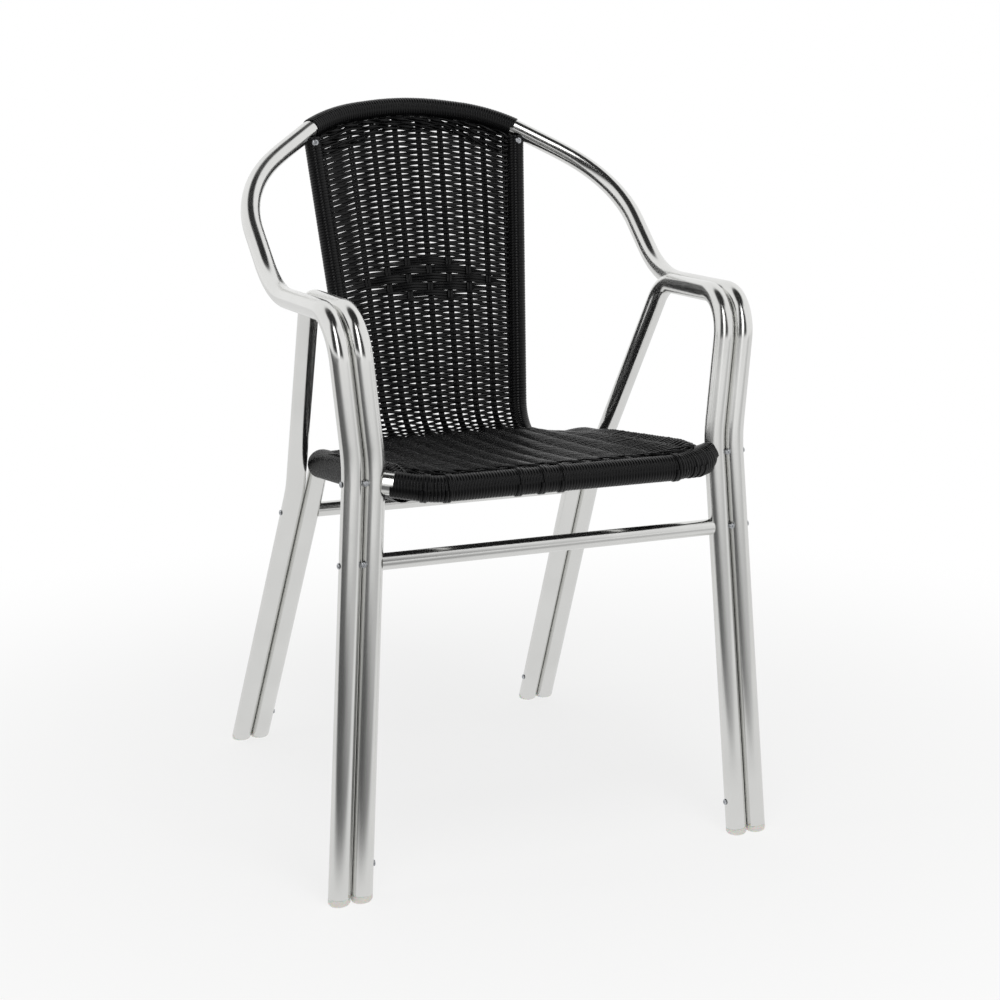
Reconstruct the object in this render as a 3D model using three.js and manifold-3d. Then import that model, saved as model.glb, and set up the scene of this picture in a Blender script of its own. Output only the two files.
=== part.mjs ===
// Stacking armchair: a polished aluminium frame of doubled tubes with a
// woven seat and back. Millimetres, +Z up, the sitter faces -Y.
import * as THREE from 'three';
import * as BufferGeometryUtils from 'three/addons/utils/BufferGeometryUtils.js';
import Module from 'manifold-3d';

// Tube stock
const FRAME_TUBE_D = 25;
const FRAME_TUBE_WALL = 1.2;
const UPRIGHT_TUBE_D = 20;
const UPRIGHT_TUBE_WALL = 1.2;
const STRETCHER_TUBE_D = 19;
const STRETCHER_TUBE_WALL = 1.2;
const SEAT_GAP = 0.3;
const PAIR_GAP = 0.6;

// Legs: the axes of the outer front tube and the outer rear tube; rises and drops are from the seat rail
const FRONT_FOOT_HALF_WIDTH = 262;
const FRONT_KNEE_HALF_WIDTH = 240.6;
const FRONT_KNEE_RISE = 18.4;
const FRONT_KNEE_SETBACK = 18.3;
const REAR_FOOT_HALF_WIDTH = 227.5;
const REAR_FOOT_SETBACK = 597.9;
const REAR_KNEE_HALF_WIDTH = 211.1;
const REAR_KNEE_SETBACK = 371.3;
const REAR_KNEE_DROP = 73.4;
const KNEE_BEND_R = 250;

// Arms
const ARM_HEIGHT = 651.8;
const ARM_FRONT_HALF_WIDTH = 260.9;
const ARM_FRONT_SETBACK = 20;
const ARM_BEND_R = 55;
const ARM_REAR_HALF_WIDTH = 264.7;
const SIDE_TUBE_BEND_SETBACK = 207.4;
const SIDE_TUBE_BEND_R = 50;

// Back hoop: it leans back in one plane from the ends of the arms to the crown
const HOOP_FOOT_SETBACK = 270.5;
const HOOP_CROWN_SETBACK = 558.5;
const HOOP_CROWN_HEIGHT = 880.3;
const HOOP_CROWN_RISE = 3.6;
const HOOP_CROWN_R = 268;
const HOOP_SHOULDER_HALF_WIDTH = 122;
const HOOP_SHOULDER_DROP = 21.3;
const HOOP_SHOULDER_R = 174;
const HOOP_FLANK_HALF_WIDTH = 201.4;
const HOOP_FLANK_DROP = 98.2;
const HOOP_FLANK_R = 257;
const HOOP_HIP_HALF_WIDTH = 270.2;
const HOOP_HIP_DROP = 170.9;
const HOOP_HIP_R = 201;
const HOOP_FOOT_R = 167;

// Seat frame
const SEAT_RAIL_HEIGHT = 461.6;
const FRONT_RAIL_DIP = 8.6;
const FRONT_RAIL_BOW = 27.6;
const FRONT_RAIL_BOW_HALF_WIDTH = 155;
const FRONT_RAIL_BOW_R = 70;
const REAR_RAIL_SETBACK = 379;
const REAR_CORNER_DROP = 37.6;
const REAR_CORNER_R = 45;
const REAR_RAIL_DROP = 57.2;
const REAR_RAIL_HALF_WIDTH = 133;
const REAR_RAIL_BEND_R = 40;
const REAR_LEG_ARC_SHARE = 0.26;

// Back uprights, which turn forward under the seat as its bars
const UPRIGHT_TOP_HALF_WIDTH = 149.6;
const UPRIGHT_TOP_INSET = 8.1;
const UPRIGHT_TOP_DROP = 12.2;
const UPRIGHT_HEEL_HALF_WIDTH = 113;
const UPRIGHT_HEEL_SETBACK = 407.2;
const UPRIGHT_HEEL_DROP = 33.8;
const UPRIGHT_HEEL_R = 60;

// Stretchers
const FRONT_STRETCHER_DROP = 89.9;
const REAR_STRETCHER_DROP = 106.9;

// Windings of flat strand round the tubes
const STRAND_WIDTH = 4.5;
const STRAND_THICKNESS = 1.6;
const STRAND_CROWN = 0.7;
const HOOP_WINDING_HALF_WIDTH = 149.5;
const BARE_STUB_LENGTH = 12;
const WINDING_END_CLEARANCE = 7;
const UPRIGHT_WINDING_TOP_MARGIN = 4;
const REAR_WINDING_HALF_WIDTH = 124;

// Woven panels: thick where the weave crosses a stake, thin between stakes
const PANEL_STAKE_THICKNESS = 5.8;
const PANEL_SPACE_THICKNESS = 2.4;
const PANEL_FRONT_OVERLAP = 2.5;
const PANEL_JOINT_GAP = 0.9;
const PANEL_SIDE_GAP = 1;
const SEAT_SAG = 5;
const SEAT_EDGE_RISE = 9;
const SEAT_BAR_SPACES = 4;
const SEAT_OUTER_SPACES = 3;
const BACK_BOW = 8;

// Foot plugs
const PLUG_FLANGE_HEIGHT = 8;
const PLUG_SOLE_R = 8.5;
const PLUG_ROUND_HEIGHT = 2.2;
const PLUG_ROUND_R = 11.4;
const PLUG_STEM_LENGTH = 14;
const PLUG_STEM_CLEARANCE = 0.4;

// Fasteners
const SCREW_HEAD_D = 7;
const SCREW_HEAD_HEIGHT = 1.8;
const BACK_BOLT_HEAD_D = 9;
const BACK_BOLT_HEAD_HEIGHT = 3;
const BACK_BOLT_DROP = 8;
const TIE_SCREW_HEIGHT = 39;

// Facets
const TUBE_SIDES = 10;
const WINDING_SIDES = 8;
const FRAME_CHORD_SAG = 0.75;
const WOUND_CHORD_SAG = 0.12;
const CUTTER_SIDES = 16;
const STEPS_PER_CHORD = 5;
const SEAT_STEPS = 8;

const tubeR = FRAME_TUBE_D / 2;
const uprightR = UPRIGHT_TUBE_D / 2;
const pairPitch = FRAME_TUBE_D + PAIR_GAP;
const frontKneeHeight = SEAT_RAIL_HEIGHT + FRONT_KNEE_RISE;
const rearKneeHeight = SEAT_RAIL_HEIGHT - REAR_KNEE_DROP;
const frontStretcherHeight = SEAT_RAIL_HEIGHT - FRONT_STRETCHER_DROP;
const rearStretcherHeight = SEAT_RAIL_HEIGHT - REAR_STRETCHER_DROP;
const rearCornerHeight = SEAT_RAIL_HEIGHT - REAR_CORNER_DROP;
const rearRailHeight = SEAT_RAIL_HEIGHT - REAR_RAIL_DROP;
const uprightHeelHeight = SEAT_RAIL_HEIGHT - UPRIGHT_HEEL_DROP;
const sides = { left: -1, right: 1 };

const polishedAluminium = new THREE.MeshStandardMaterial({ color: 0xc9c9c7, roughness: 0.18, metalness: 1 });
const blackStrand = new THREE.MeshStandardMaterial({ color: 0x1b1b1d, roughness: 0.45, metalness: 0 });
const clearPlastic = new THREE.MeshStandardMaterial({ color: 0xe6e6e2, roughness: 0.35, metalness: 0 });
const plainSteel = new THREE.MeshStandardMaterial({ color: 0xb9babc, roughness: 0.3, metalness: 1 });

const wasm = await Module();
wasm.setup();

// A curve whose stations lie only where the tube bends
class StationCurve extends THREE.Curve {
  constructor(stations) {
    super();
    this.stations = stations;
  }

  station(u) {
    return this.stations[Math.round(u * (this.stations.length - 1))];
  }

  getPointAt(u) {
    return this.station(u).point.clone();
  }

  getTangentAt(u) {
    return this.station(u).tangent.clone();
  }
}

function corner(x, y, z, radius = 0, chordSag = FRAME_CHORD_SAG) {
  return { point: new THREE.Vector3(x, y, z), radius, chordSag };
}

// The arc that rounds one corner of a bent tube
function cornerArc(before, at, after) {
  const incoming = at.point.clone().sub(before.point).normalize();
  const outgoing = after.point.clone().sub(at.point).normalize();
  const turn = incoming.angleTo(outgoing);
  const reach = at.radius * Math.tan(turn / 2);
  const start = at.point.clone().addScaledVector(incoming, -reach);
  const inward = outgoing.clone().addScaledVector(incoming, -outgoing.dot(incoming)).normalize();
  const centre = start.clone().addScaledVector(inward, at.radius);
  const stationAt = (share) => {
    const angle = turn * share;
    const tangent = incoming.clone().multiplyScalar(Math.cos(angle)).addScaledVector(inward, Math.sin(angle));
    const spoke = inward.clone().multiplyScalar(-Math.cos(angle)).addScaledVector(incoming, Math.sin(angle));
    return { point: centre.clone().addScaledVector(spoke, at.radius), tangent };
  };
  return { turn, stationAt };
}

// Stations of a tube that runs straight between rounded corners
function bentPath(corners) {
  const last = corners.length - 1;
  const first = corners[1].point.clone().sub(corners[0].point).normalize();
  const final = corners[last].point.clone().sub(corners[last - 1].point).normalize();
  const stations = [{ point: corners[0].point.clone(), tangent: first }];
  for (let i = 1; i < last; i += 1) {
    const arc = cornerArc(corners[i - 1], corners[i], corners[i + 1]);
    const { radius, chordSag } = corners[i];
    const steps = Math.max(2, Math.ceil(arc.turn / (2 * Math.acos(1 - chordSag / radius))));
    for (let k = 0; k <= steps; k += 1) {
      stations.push(arc.stationAt(k / steps));
    }
  }
  stations.push({ point: corners[last].point.clone(), tangent: final });
  return stations;
}

function polygon(radius, count) {
  const step = (2 * Math.PI) / count;
  return Array.from({ length: count }, (_, i) => new THREE.Vector2(
    radius * Math.cos(i * step),
    radius * Math.sin(i * step),
  ));
}

function sweep(stations, radius, count, wall = 0) {
  const section = new THREE.Shape(polygon(radius, count));
  if (wall > 0) {
    section.holes.push(new THREE.Path(polygon(radius - wall, count).reverse()));
  }
  return new THREE.ExtrudeGeometry(section, {
    steps: stations.length - 1,
    extrudePath: new StationCurve(stations),
    bevelEnabled: false,
  });
}

function frameTube(stations) {
  return sweep(stations, tubeR, TUBE_SIDES, FRAME_TUBE_WALL);
}

// Joins rings of points into one closed body, capped or closed on itself
function loft(rings, closed) {
  const count = rings[0].length;
  const positions = rings.flat().flatMap((p) => [p.x, p.y, p.z]);
  const faces = [];
  const spans = closed ? rings.length : rings.length - 1;
  for (let i = 0; i < spans; i += 1) {
    const next = (i + 1) % rings.length;
    for (let k = 0; k < count; k += 1) {
      const a = i * count + k;
      const b = i * count + ((k + 1) % count);
      const c = next * count + ((k + 1) % count);
      const d = next * count + k;
      faces.push(a, b, c, a, c, d);
    }
  }
  if (!closed) {
    const end = (rings.length - 1) * count;
    for (let k = 0; k < count / 2 - 1; k += 1) {
      const [a, b, c, d] = [k, k + 1, count - 2 - k, count - 1 - k];
      faces.push(a, c, b, a, d, c, end + a, end + b, end + c, end + a, end + c, end + d);
    }
  }
  const geometry = new THREE.BufferGeometry();
  geometry.setAttribute('position', new THREE.Float32BufferAttribute(positions, 3));
  geometry.setIndex(faces);
  return outward(geometry);
}

// Turns every face round where a body came out inside out
function outward(geometry) {
  const index = geometry.getIndex().array;
  const [a, b, c] = [new THREE.Vector3(), new THREE.Vector3(), new THREE.Vector3()];
  const position = geometry.getAttribute('position');
  let volume = 0;
  for (let i = 0; i < index.length; i += 3) {
    a.fromBufferAttribute(position, index[i]);
    b.fromBufferAttribute(position, index[i + 1]);
    c.fromBufferAttribute(position, index[i + 2]);
    volume += a.dot(b.cross(c));
  }
  if (volume < 0) {
    for (let i = 0; i < index.length; i += 3) {
      [index[i + 1], index[i + 2]] = [index[i + 2], index[i + 1]];
    }
  }
  return geometry;
}

function toSolid(geometry) {
  const bare = geometry.clone();
  bare.deleteAttribute('normal');
  bare.deleteAttribute('uv');
  const merged = BufferGeometryUtils.mergeVertices(bare);
  return new wasm.Manifold(new wasm.Mesh({
    numProp: 3,
    vertProperties: new Float32Array(merged.getAttribute('position').array),
    triVerts: new Uint32Array(merged.getIndex().array),
  }));
}

function fromSolid(solid) {
  const mesh = solid.getMesh();
  const geometry = new THREE.BufferGeometry();
  geometry.setAttribute('position', new THREE.BufferAttribute(mesh.vertProperties, 3));
  geometry.setIndex(new THREE.BufferAttribute(mesh.triVerts, 1));
  return geometry;
}

function cope(geometry, ...cutters) {
  let solid = toSolid(geometry);
  for (const cutter of cutters) {
    solid = solid.subtract(toSolid(cutter));
  }
  return fromSolid(solid);
}

// The space a coped end leaves round the tube that it meets
function clearanceOf(stations, radius) {
  return sweep(stations, (radius + SEAT_GAP) / Math.cos(Math.PI / CUTTER_SIDES), CUTTER_SIDES);
}

// Walks a path by length
function walk(stations) {
  const points = [];
  for (let i = 0; i < stations.length - 1; i += 1) {
    const a = stations[i];
    const b = stations[i + 1];
    const span = a.point.distanceTo(b.point);
    const curve = new THREE.CubicBezierCurve3(
      a.point,
      a.point.clone().addScaledVector(a.tangent, span / 3),
      b.point.clone().addScaledVector(b.tangent, -span / 3),
      b.point,
    );
    points.push(...curve.getPoints(STEPS_PER_CHORD).slice(i === 0 ? 0 : 1));
  }
  const lengths = [0];
  for (let i = 1; i < points.length; i += 1) {
    lengths.push(lengths[i - 1] + points[i].distanceTo(points[i - 1]));
  }
  const total = lengths[lengths.length - 1];
  const at = (length) => {
    let i = 1;
    while (i < points.length - 1 && lengths[i] < length) {
      i += 1;
    }
    const share = (length - lengths[i - 1]) / (lengths[i] - lengths[i - 1]);
    return {
      point: points[i - 1].clone().lerp(points[i], share),
      tangent: points[i].clone().sub(points[i - 1]).normalize(),
    };
  };
  const lengthWhere = (test) => lengths[points.findIndex(test)];
  const stationsBetween = (from, to) => stations.filter((_, i) => (
    lengths[i * STEPS_PER_CHORD] > from && lengths[i * STEPS_PER_CHORD] < to
  ));
  return { total, at, lengthWhere, stationsBetween };
}

function ringRound({ point, tangent }, radius, count) {
  const across = new THREE.Vector3(0, 0, 1).cross(tangent).normalize();
  if (Math.abs(tangent.z) > Math.cos(Math.PI / 4)) {
    across.set(1, 0, 0).addScaledVector(tangent, -tangent.x).normalize();
  }
  const up = tangent.clone().cross(across);
  return polygon(radius, count).map((p) => (
    point.clone().addScaledVector(across, p.x).addScaledVector(up, p.y)
  ));
}

// Strand wound round a tube: one crowned rib for each turn, over a round bore
function ribbedWinding(path, from, to, coreR) {
  const turns = Math.round((to - from) / STRAND_WIDTH);
  const pitch = (to - from) / turns;
  const boreR = (coreR + SEAT_GAP) / Math.cos(Math.PI / WINDING_SIDES);
  const grooveR = boreR + STRAND_THICKNESS - STRAND_CROWN;
  const crestR = boreR + STRAND_THICKNESS;
  const rings = [];
  for (let i = 0; i < turns; i += 1) {
    rings.push(ringRound(path.at(from + i * pitch), grooveR, WINDING_SIDES));
    rings.push(ringRound(path.at(from + (i + 0.5) * pitch), crestR, WINDING_SIDES));
  }
  rings.push(ringRound(path.at(to), grooveR, WINDING_SIDES));
  for (const station of [path.at(to), ...path.stationsBetween(from, to).reverse(), path.at(from)]) {
    rings.push(ringRound(station, boreR, WINDING_SIDES));
  }
  return loft(rings, true);
}

// Strand wound round a tube, drawn as a sleeve of its outer size
function plainWinding(stations, coreR) {
  const boreR = (coreR + SEAT_GAP) / Math.cos(Math.PI / TUBE_SIDES);
  return sweep(stations, boreR + STRAND_THICKNESS, TUBE_SIDES, STRAND_THICKNESS);
}

// Stations of a part of a path, with its ends drawn in by two lengths
function trimmed(stations, fromStart, fromEnd) {
  const path = walk(stations);
  const inner = stations.filter(({ point }) => (
    point.distanceTo(stations[0].point) > fromStart + SEAT_GAP
    && point.distanceTo(stations[stations.length - 1].point) > fromEnd + SEAT_GAP
  ));
  return [path.at(fromStart), ...inner, path.at(path.total - fromEnd)];
}

function pointAtHeight(a, b, height) {
  const share = (height - a.z) / (b.z - a.z);
  return a.clone().lerp(b, share);
}

// Where a leg that starts at its foot first reaches a height
function axisAtHeight(stations, height) {
  const i = Math.max(1, stations.findIndex(({ point }) => point.z >= height));
  return pointAtHeight(stations[i - 1].point, stations[i].point, height);
}

function addMesh(group, name, geometry, material) {
  const mesh = new THREE.Mesh(geometry, material);
  mesh.name = name;
  group.add(mesh);
}

// Corners of the leg and arm that the two tubes of one side share
function frontCorners(side, inset) {
  return {
    foot: new THREE.Vector3(side * (FRONT_FOOT_HALF_WIDTH - inset), 0, 0),
    knee: new THREE.Vector3(side * (FRONT_KNEE_HALF_WIDTH - inset), FRONT_KNEE_SETBACK, frontKneeHeight),
    arm: new THREE.Vector3(side * (ARM_FRONT_HALF_WIDTH - inset), ARM_FRONT_SETBACK, ARM_HEIGHT),
  };
}

function rearCorners(side, inset) {
  return {
    knee: new THREE.Vector3(side * (REAR_KNEE_HALF_WIDTH - inset), REAR_KNEE_SETBACK, rearKneeHeight),
    foot: new THREE.Vector3(side * (REAR_FOOT_HALF_WIDTH - inset), REAR_FOOT_SETBACK, 0),
  };
}

function legCorners({ foot, knee }) {
  const end = pointAtHeight(foot, knee, PLUG_FLANGE_HEIGHT);
  return [corner(end.x, end.y, end.z), corner(knee.x, knee.y, knee.z, KNEE_BEND_R)];
}

// A corner of the hoop, given by its half width and its drop down the slope
function hoopCorner(side, halfWidth, drop, radius, chordSag) {
  const rise = HOOP_CROWN_HEIGHT - ARM_HEIGHT;
  const run = HOOP_CROWN_SETBACK - HOOP_FOOT_SETBACK;
  const slope = Math.hypot(rise, run);
  return corner(
    side * halfWidth,
    HOOP_CROWN_SETBACK - (drop * run) / slope,
    HOOP_CROWN_HEIGHT - (drop * rise) / slope,
    radius,
    chordSag,
  );
}

function hoopSide(side) {
  const { foot, knee, arm } = frontCorners(side, 0);
  return [
    ...legCorners({ foot, knee }),
    corner(arm.x, arm.y, arm.z, ARM_BEND_R),
    corner(side * ARM_REAR_HALF_WIDTH, HOOP_FOOT_SETBACK, ARM_HEIGHT, HOOP_FOOT_R),
    hoopCorner(side, HOOP_HIP_HALF_WIDTH, HOOP_HIP_DROP, HOOP_HIP_R),
    hoopCorner(side, HOOP_FLANK_HALF_WIDTH, HOOP_FLANK_DROP, HOOP_FLANK_R),
    hoopCorner(side, HOOP_SHOULDER_HALF_WIDTH, HOOP_SHOULDER_DROP, HOOP_SHOULDER_R, WOUND_CHORD_SAG),
  ];
}

const hoopStations = bentPath([
  ...hoopSide(sides.left),
  hoopCorner(sides.right, 0, -HOOP_CROWN_RISE, HOOP_CROWN_R, WOUND_CHORD_SAG),
  ...hoopSide(sides.right).reverse(),
]);

function sideTubeStations(side) {
  const { foot, knee, arm } = frontCorners(side, pairPitch);
  const rear = rearCorners(side, 0);
  const armShare = (SIDE_TUBE_BEND_SETBACK - ARM_FRONT_SETBACK) / (HOOP_FOOT_SETBACK - ARM_FRONT_SETBACK);
  const spread = ARM_FRONT_HALF_WIDTH + (ARM_REAR_HALF_WIDTH - ARM_FRONT_HALF_WIDTH) * armShare;
  return bentPath([
    ...legCorners({ foot, knee }),
    corner(arm.x, arm.y, arm.z, ARM_BEND_R),
    corner(side * (spread - pairPitch), SIDE_TUBE_BEND_SETBACK, ARM_HEIGHT, SIDE_TUBE_BEND_R),
    ...legCorners(rear).reverse(),
  ]);
}

// The paths of the four legs of one side, each from its foot up
function legPaths(side) {
  const outerFront = side === sides.left ? hoopStations : hoopStations.slice().reverse();
  const innerFront = sideTubeStations(side);
  return {
    outerFront,
    innerFront,
    outerRear: innerFront.slice().reverse(),
    innerRear: bentPath([...legCorners(rearCorners(side, pairPitch)), rearLegTop(side)]),
  };
}

function seatRailEnd(side) {
  return axisAtHeight(sideTubeStations(side), SEAT_RAIL_HEIGHT);
}

function frontRailCorner(side) {
  const end = seatRailEnd(side);
  return corner(
    side * FRONT_RAIL_BOW_HALF_WIDTH,
    end.y - FRONT_RAIL_BOW,
    end.z - FRONT_RAIL_DIP,
    FRONT_RAIL_BOW_R,
    WOUND_CHORD_SAG,
  );
}

function frontRailStations() {
  const left = seatRailEnd(sides.left);
  const right = seatRailEnd(sides.right);
  return bentPath([
    corner(left.x, left.y, left.z),
    frontRailCorner(sides.left),
    frontRailCorner(sides.right),
    corner(right.x, right.y, right.z),
  ]);
}

// Outer radius of a winding of each kind, at the corners of its section
const ribbedWindingR = (tubeR + SEAT_GAP) / Math.cos(Math.PI / WINDING_SIDES) + STRAND_THICKNESS;
const plainWindingR = (tubeR + SEAT_GAP) / Math.cos(Math.PI / TUBE_SIDES) + STRAND_THICKNESS;
const uprightWindingR = (uprightR + SEAT_GAP) / Math.cos(Math.PI / TUBE_SIDES) + STRAND_THICKNESS;
const sideRailHalfWidth = seatRailEnd(sides.right).x - tubeR - SEAT_GAP - plainWindingR;

// Place of the side rail's front end, on the axis of the front rail
function sideRailFront(side) {
  const end = seatRailEnd(side);
  const bow = frontRailCorner(side).point;
  const share = (Math.abs(end.x) - sideRailHalfWidth) / (Math.abs(end.x) - Math.abs(bow.x));
  return end.clone().lerp(bow, share);
}

function bowCorners(side) {
  const front = sideRailFront(side);
  return [
    corner(front.x, front.y, front.z),
    corner(front.x, REAR_RAIL_SETBACK, rearCornerHeight, REAR_CORNER_R),
    corner(side * REAR_RAIL_HALF_WIDTH, REAR_RAIL_SETBACK, rearRailHeight, REAR_RAIL_BEND_R),
  ];
}

const bowStations = bentPath([...bowCorners(sides.left), ...bowCorners(sides.right).reverse()]);

// Place of the hoop's axis at a distance to the right of its crown
function hoopPointAt(x) {
  const hoop = walk(hoopStations);
  const from = hoop.lengthWhere((p) => p.x > x && p.z > ARM_HEIGHT + tubeR);
  return hoop.at(from).point.clone();
}

const uprightMeeting = hoopPointAt(UPRIGHT_TOP_HALF_WIDTH);

function uprightCorners(side) {
  const rail = frontRailCorner(side).point;
  const top = uprightMeeting;
  return [
    corner(side * UPRIGHT_TOP_HALF_WIDTH, top.y - UPRIGHT_TOP_INSET, top.z - UPRIGHT_TOP_DROP),
    corner(side * UPRIGHT_HEEL_HALF_WIDTH, UPRIGHT_HEEL_SETBACK, uprightHeelHeight, UPRIGHT_HEEL_R),
    corner(side * UPRIGHT_HEEL_HALF_WIDTH, rail.y, rail.z),
  ];
}

// The hoop, the side tubes and the short rear tubes
function addFrame(group) {
  addMesh(group, 'back_hoop_tube', frameTube(hoopStations), polishedAluminium);
  for (const [name, side] of Object.entries(sides)) {
    addMesh(group, `${name}_side_tube`, frameTube(sideTubeStations(side)), polishedAluminium);
    addMesh(group, `${name}_rear_leg_tube`, rearLegGeometry(side), polishedAluminium);
  }
}

function rearLegTop(side) {
  const [front, bend, rear] = bowCorners(side);
  const top = cornerArc(front, bend, rear).stationAt(REAR_LEG_ARC_SHARE).point;
  return corner(top.x, top.y, top.z);
}

function rearLegGeometry(side) {
  return cope(frameTube(legPaths(side).innerRear), clearanceOf(bowStations, plainWindingR));
}

// A stretcher between two points on the axes of the tubes that carry it
function stretcherGeometry(left, right, carriers) {
  const stations = bentPath([corner(left.x, left.y, left.z), corner(right.x, right.y, right.z)]);
  const tube = sweep(stations, STRETCHER_TUBE_D / 2, TUBE_SIDES, STRETCHER_TUBE_WALL);
  return cope(tube, ...carriers.map((carrier) => clearanceOf(carrier, tubeR)));
}

function addStretchers(group) {
  const left = legPaths(sides.left);
  const right = legPaths(sides.right);
  const stretchers = {
    front_stretcher: { legs: [left.innerFront, right.innerFront], height: frontStretcherHeight },
    rear_stretcher: { legs: [left.innerRear, right.innerRear], height: rearStretcherHeight },
  };
  for (const [name, { legs, height }] of Object.entries(stretchers)) {
    const [from, to] = legs.map((leg) => axisAtHeight(leg, height));
    addMesh(group, name, stretcherGeometry(from, to, legs), polishedAluminium);
  }
}

function addSeatFrame(group) {
  const railStations = frontRailStations();
  const legs = Object.values(sides).map(sideTubeStations);
  const rail = cope(frameTube(railStations), ...legs.map((leg) => clearanceOf(leg, tubeR)));
  addMesh(group, 'seat_front_rail', rail, polishedAluminium);
  const bow = cope(frameTube(bowStations), clearanceOf(railStations, ribbedWindingR));
  addMesh(group, 'seat_rear_bow', bow, polishedAluminium);
  for (const [name, side] of Object.entries(sides)) {
    const tube = sweep(bentPath(uprightCorners(side)), uprightR, TUBE_SIDES, UPRIGHT_TUBE_WALL);
    const upright = cope(
      tube,
      clearanceOf(hoopStations, ribbedWindingR),
      clearanceOf(railStations, ribbedWindingR),
    );
    addMesh(group, `${name}_back_upright`, upright, polishedAluminium);
  }
}

function addWindings(group) {
  const hoop = walk(hoopStations);
  const from = hoop.lengthWhere((p) => p.x > -HOOP_WINDING_HALF_WIDTH && p.z > ARM_HEIGHT + tubeR);
  const hoopWinding = ribbedWinding(hoop, from, hoop.total - from, tubeR);
  addMesh(group, 'back_hoop_winding', hoopWinding, blackStrand);

  const rail = walk(frontRailStations());
  const clear = tubeR + WINDING_END_CLEARANCE;
  const railWinding = ribbedWinding(rail, clear + BARE_STUB_LENGTH, rail.total - clear, tubeR);
  addMesh(group, 'seat_front_rail_winding', railWinding, blackStrand);

  for (const [name, side] of Object.entries(sides)) {
    const railPath = bentPath([...bowCorners(side), corner(0, REAR_RAIL_SETBACK, rearRailHeight)]);
    const start = ribbedWindingR + WINDING_END_CLEARANCE;
    const railSleeve = plainWinding(trimmed(railPath, start, REAR_WINDING_HALF_WIDTH), tubeR);
    addMesh(group, `${name}_side_rail_winding`, railSleeve, blackStrand);

    const uprightPath = bentPath(uprightCorners(side));
    const top = ribbedWindingR + UPRIGHT_WINDING_TOP_MARGIN;
    const heelEnd = uprightPath[uprightPath.length - 2].point;
    const barLength = heelEnd.distanceTo(uprightPath[uprightPath.length - 1].point);
    const uprightSleeve = plainWinding(trimmed(uprightPath, top, barLength), uprightR);
    addMesh(group, `${name}_back_upright_winding`, uprightSleeve, blackStrand);
  }
  const rear = Object.values(sides).map((side) => (
    corner(side * (REAR_WINDING_HALF_WIDTH - SEAT_GAP), REAR_RAIL_SETBACK, rearRailHeight)
  ));
  addMesh(group, 'seat_rear_rail_winding', plainWinding(bentPath(rear), tubeR), blackStrand);
}

// A closed sheet round the points of its middle surface, each with its thickness
function sheet(grid) {
  const rows = grid.length;
  const columns = grid[0].length;
  const normalAt = (i, k) => {
    const up = grid[Math.min(i + 1, rows - 1)][k].point;
    const down = grid[Math.max(i - 1, 0)][k].point;
    const right = grid[i][Math.min(k + 1, columns - 1)].point;
    const left = grid[i][Math.max(k - 1, 0)].point;
    return right.clone().sub(left).cross(up.clone().sub(down)).normalize();
  };
  const shifted = (i, share) => grid[i].map(({ point, thickness }, k) => (
    point.clone().addScaledVector(normalAt(i, k), thickness * share)
  ));
  const rings = grid.map((_, i) => [...shifted(i, 0.5), ...shifted(i, -0.5).reverse()]);
  return loft(rings, false);
}

const barLift = uprightR + SEAT_GAP + PANEL_STAKE_THICKNESS / 2;

// Columns of a panel, counted in spaces from its middle: edges, stakes and middles between stakes
function panelColumns(halfSpaces) {
  const edge = { spaces: halfSpaces, thickness: PANEL_SPACE_THICKNESS };
  const inner = Array.from({ length: 4 * halfSpaces - 3 }, (_, i) => ({
    spaces: 1 - halfSpaces + i / 2,
    thickness: i % 2 === 0 ? PANEL_STAKE_THICKNESS : PANEL_SPACE_THICKNESS,
  }));
  return [{ ...edge, spaces: -halfSpaces }, ...inner, edge];
}

// Height of the axis of a seat bar
function barHeight(y) {
  const [, heel, rail] = uprightCorners(sides.right);
  const share = (y - rail.point.y) / (heel.point.y - rail.point.y);
  return THREE.MathUtils.lerp(rail.point.z, heel.point.z, share);
}

function seatPoint(spaces, along) {
  const rail = frontRailCorner(sides.right).point;
  const front = sideRailFront(sides.right);
  const inBars = Math.min(Math.abs(spaces), SEAT_BAR_SPACES) / SEAT_BAR_SPACES;
  const pastBars = Math.max(0, Math.abs(spaces) - SEAT_BAR_SPACES) / SEAT_OUTER_SPACES;
  const spread = sideRailHalfWidth - UPRIGHT_HEEL_HALF_WIDTH;
  const clearShare = 1 - (plainWindingR + SEAT_GAP) / spread;
  const outer = Math.min(pastBars, clearShare);
  const frontY = THREE.MathUtils.lerp(rail.y, front.y, outer) + ribbedWindingR - PANEL_FRONT_OVERLAP;
  const y = THREE.MathUtils.lerp(frontY, seatRearY(), along);
  const intoCorner = Math.max(0, y - REAR_RAIL_SETBACK + REAR_CORNER_R);
  const cornerInset = REAR_CORNER_R - Math.sqrt(REAR_CORNER_R ** 2 - intoCorner ** 2);
  const x = UPRIGHT_HEEL_HALF_WIDTH * inBars + (spread - cornerInset) * outer;
  const railShare = (y - front.y) / (REAR_RAIL_SETBACK - front.y);
  const edge = THREE.MathUtils.lerp(front.z, rearCornerHeight, railShare) + SEAT_EDGE_RISE;
  const sag = SEAT_SAG * (1 - inBars ** 2) * Math.sin(Math.PI * along);
  const z = THREE.MathUtils.lerp(barHeight(y) + barLift, edge, outer) - sag;
  return new THREE.Vector3(Math.sign(spaces) * x, y, z);
}

function seatRearY() {
  const stations = bentPath(uprightCorners(sides.right));
  return stations[stations.length - 2].point.y - PANEL_JOINT_GAP;
}

function seatGrid() {
  const columns = panelColumns(SEAT_BAR_SPACES + SEAT_OUTER_SPACES);
  return Array.from({ length: SEAT_STEPS + 1 }, (_, i) => columns.map(({ spaces, thickness }) => (
    { point: seatPoint(spaces, i / SEAT_STEPS), thickness }
  )));
}

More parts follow.
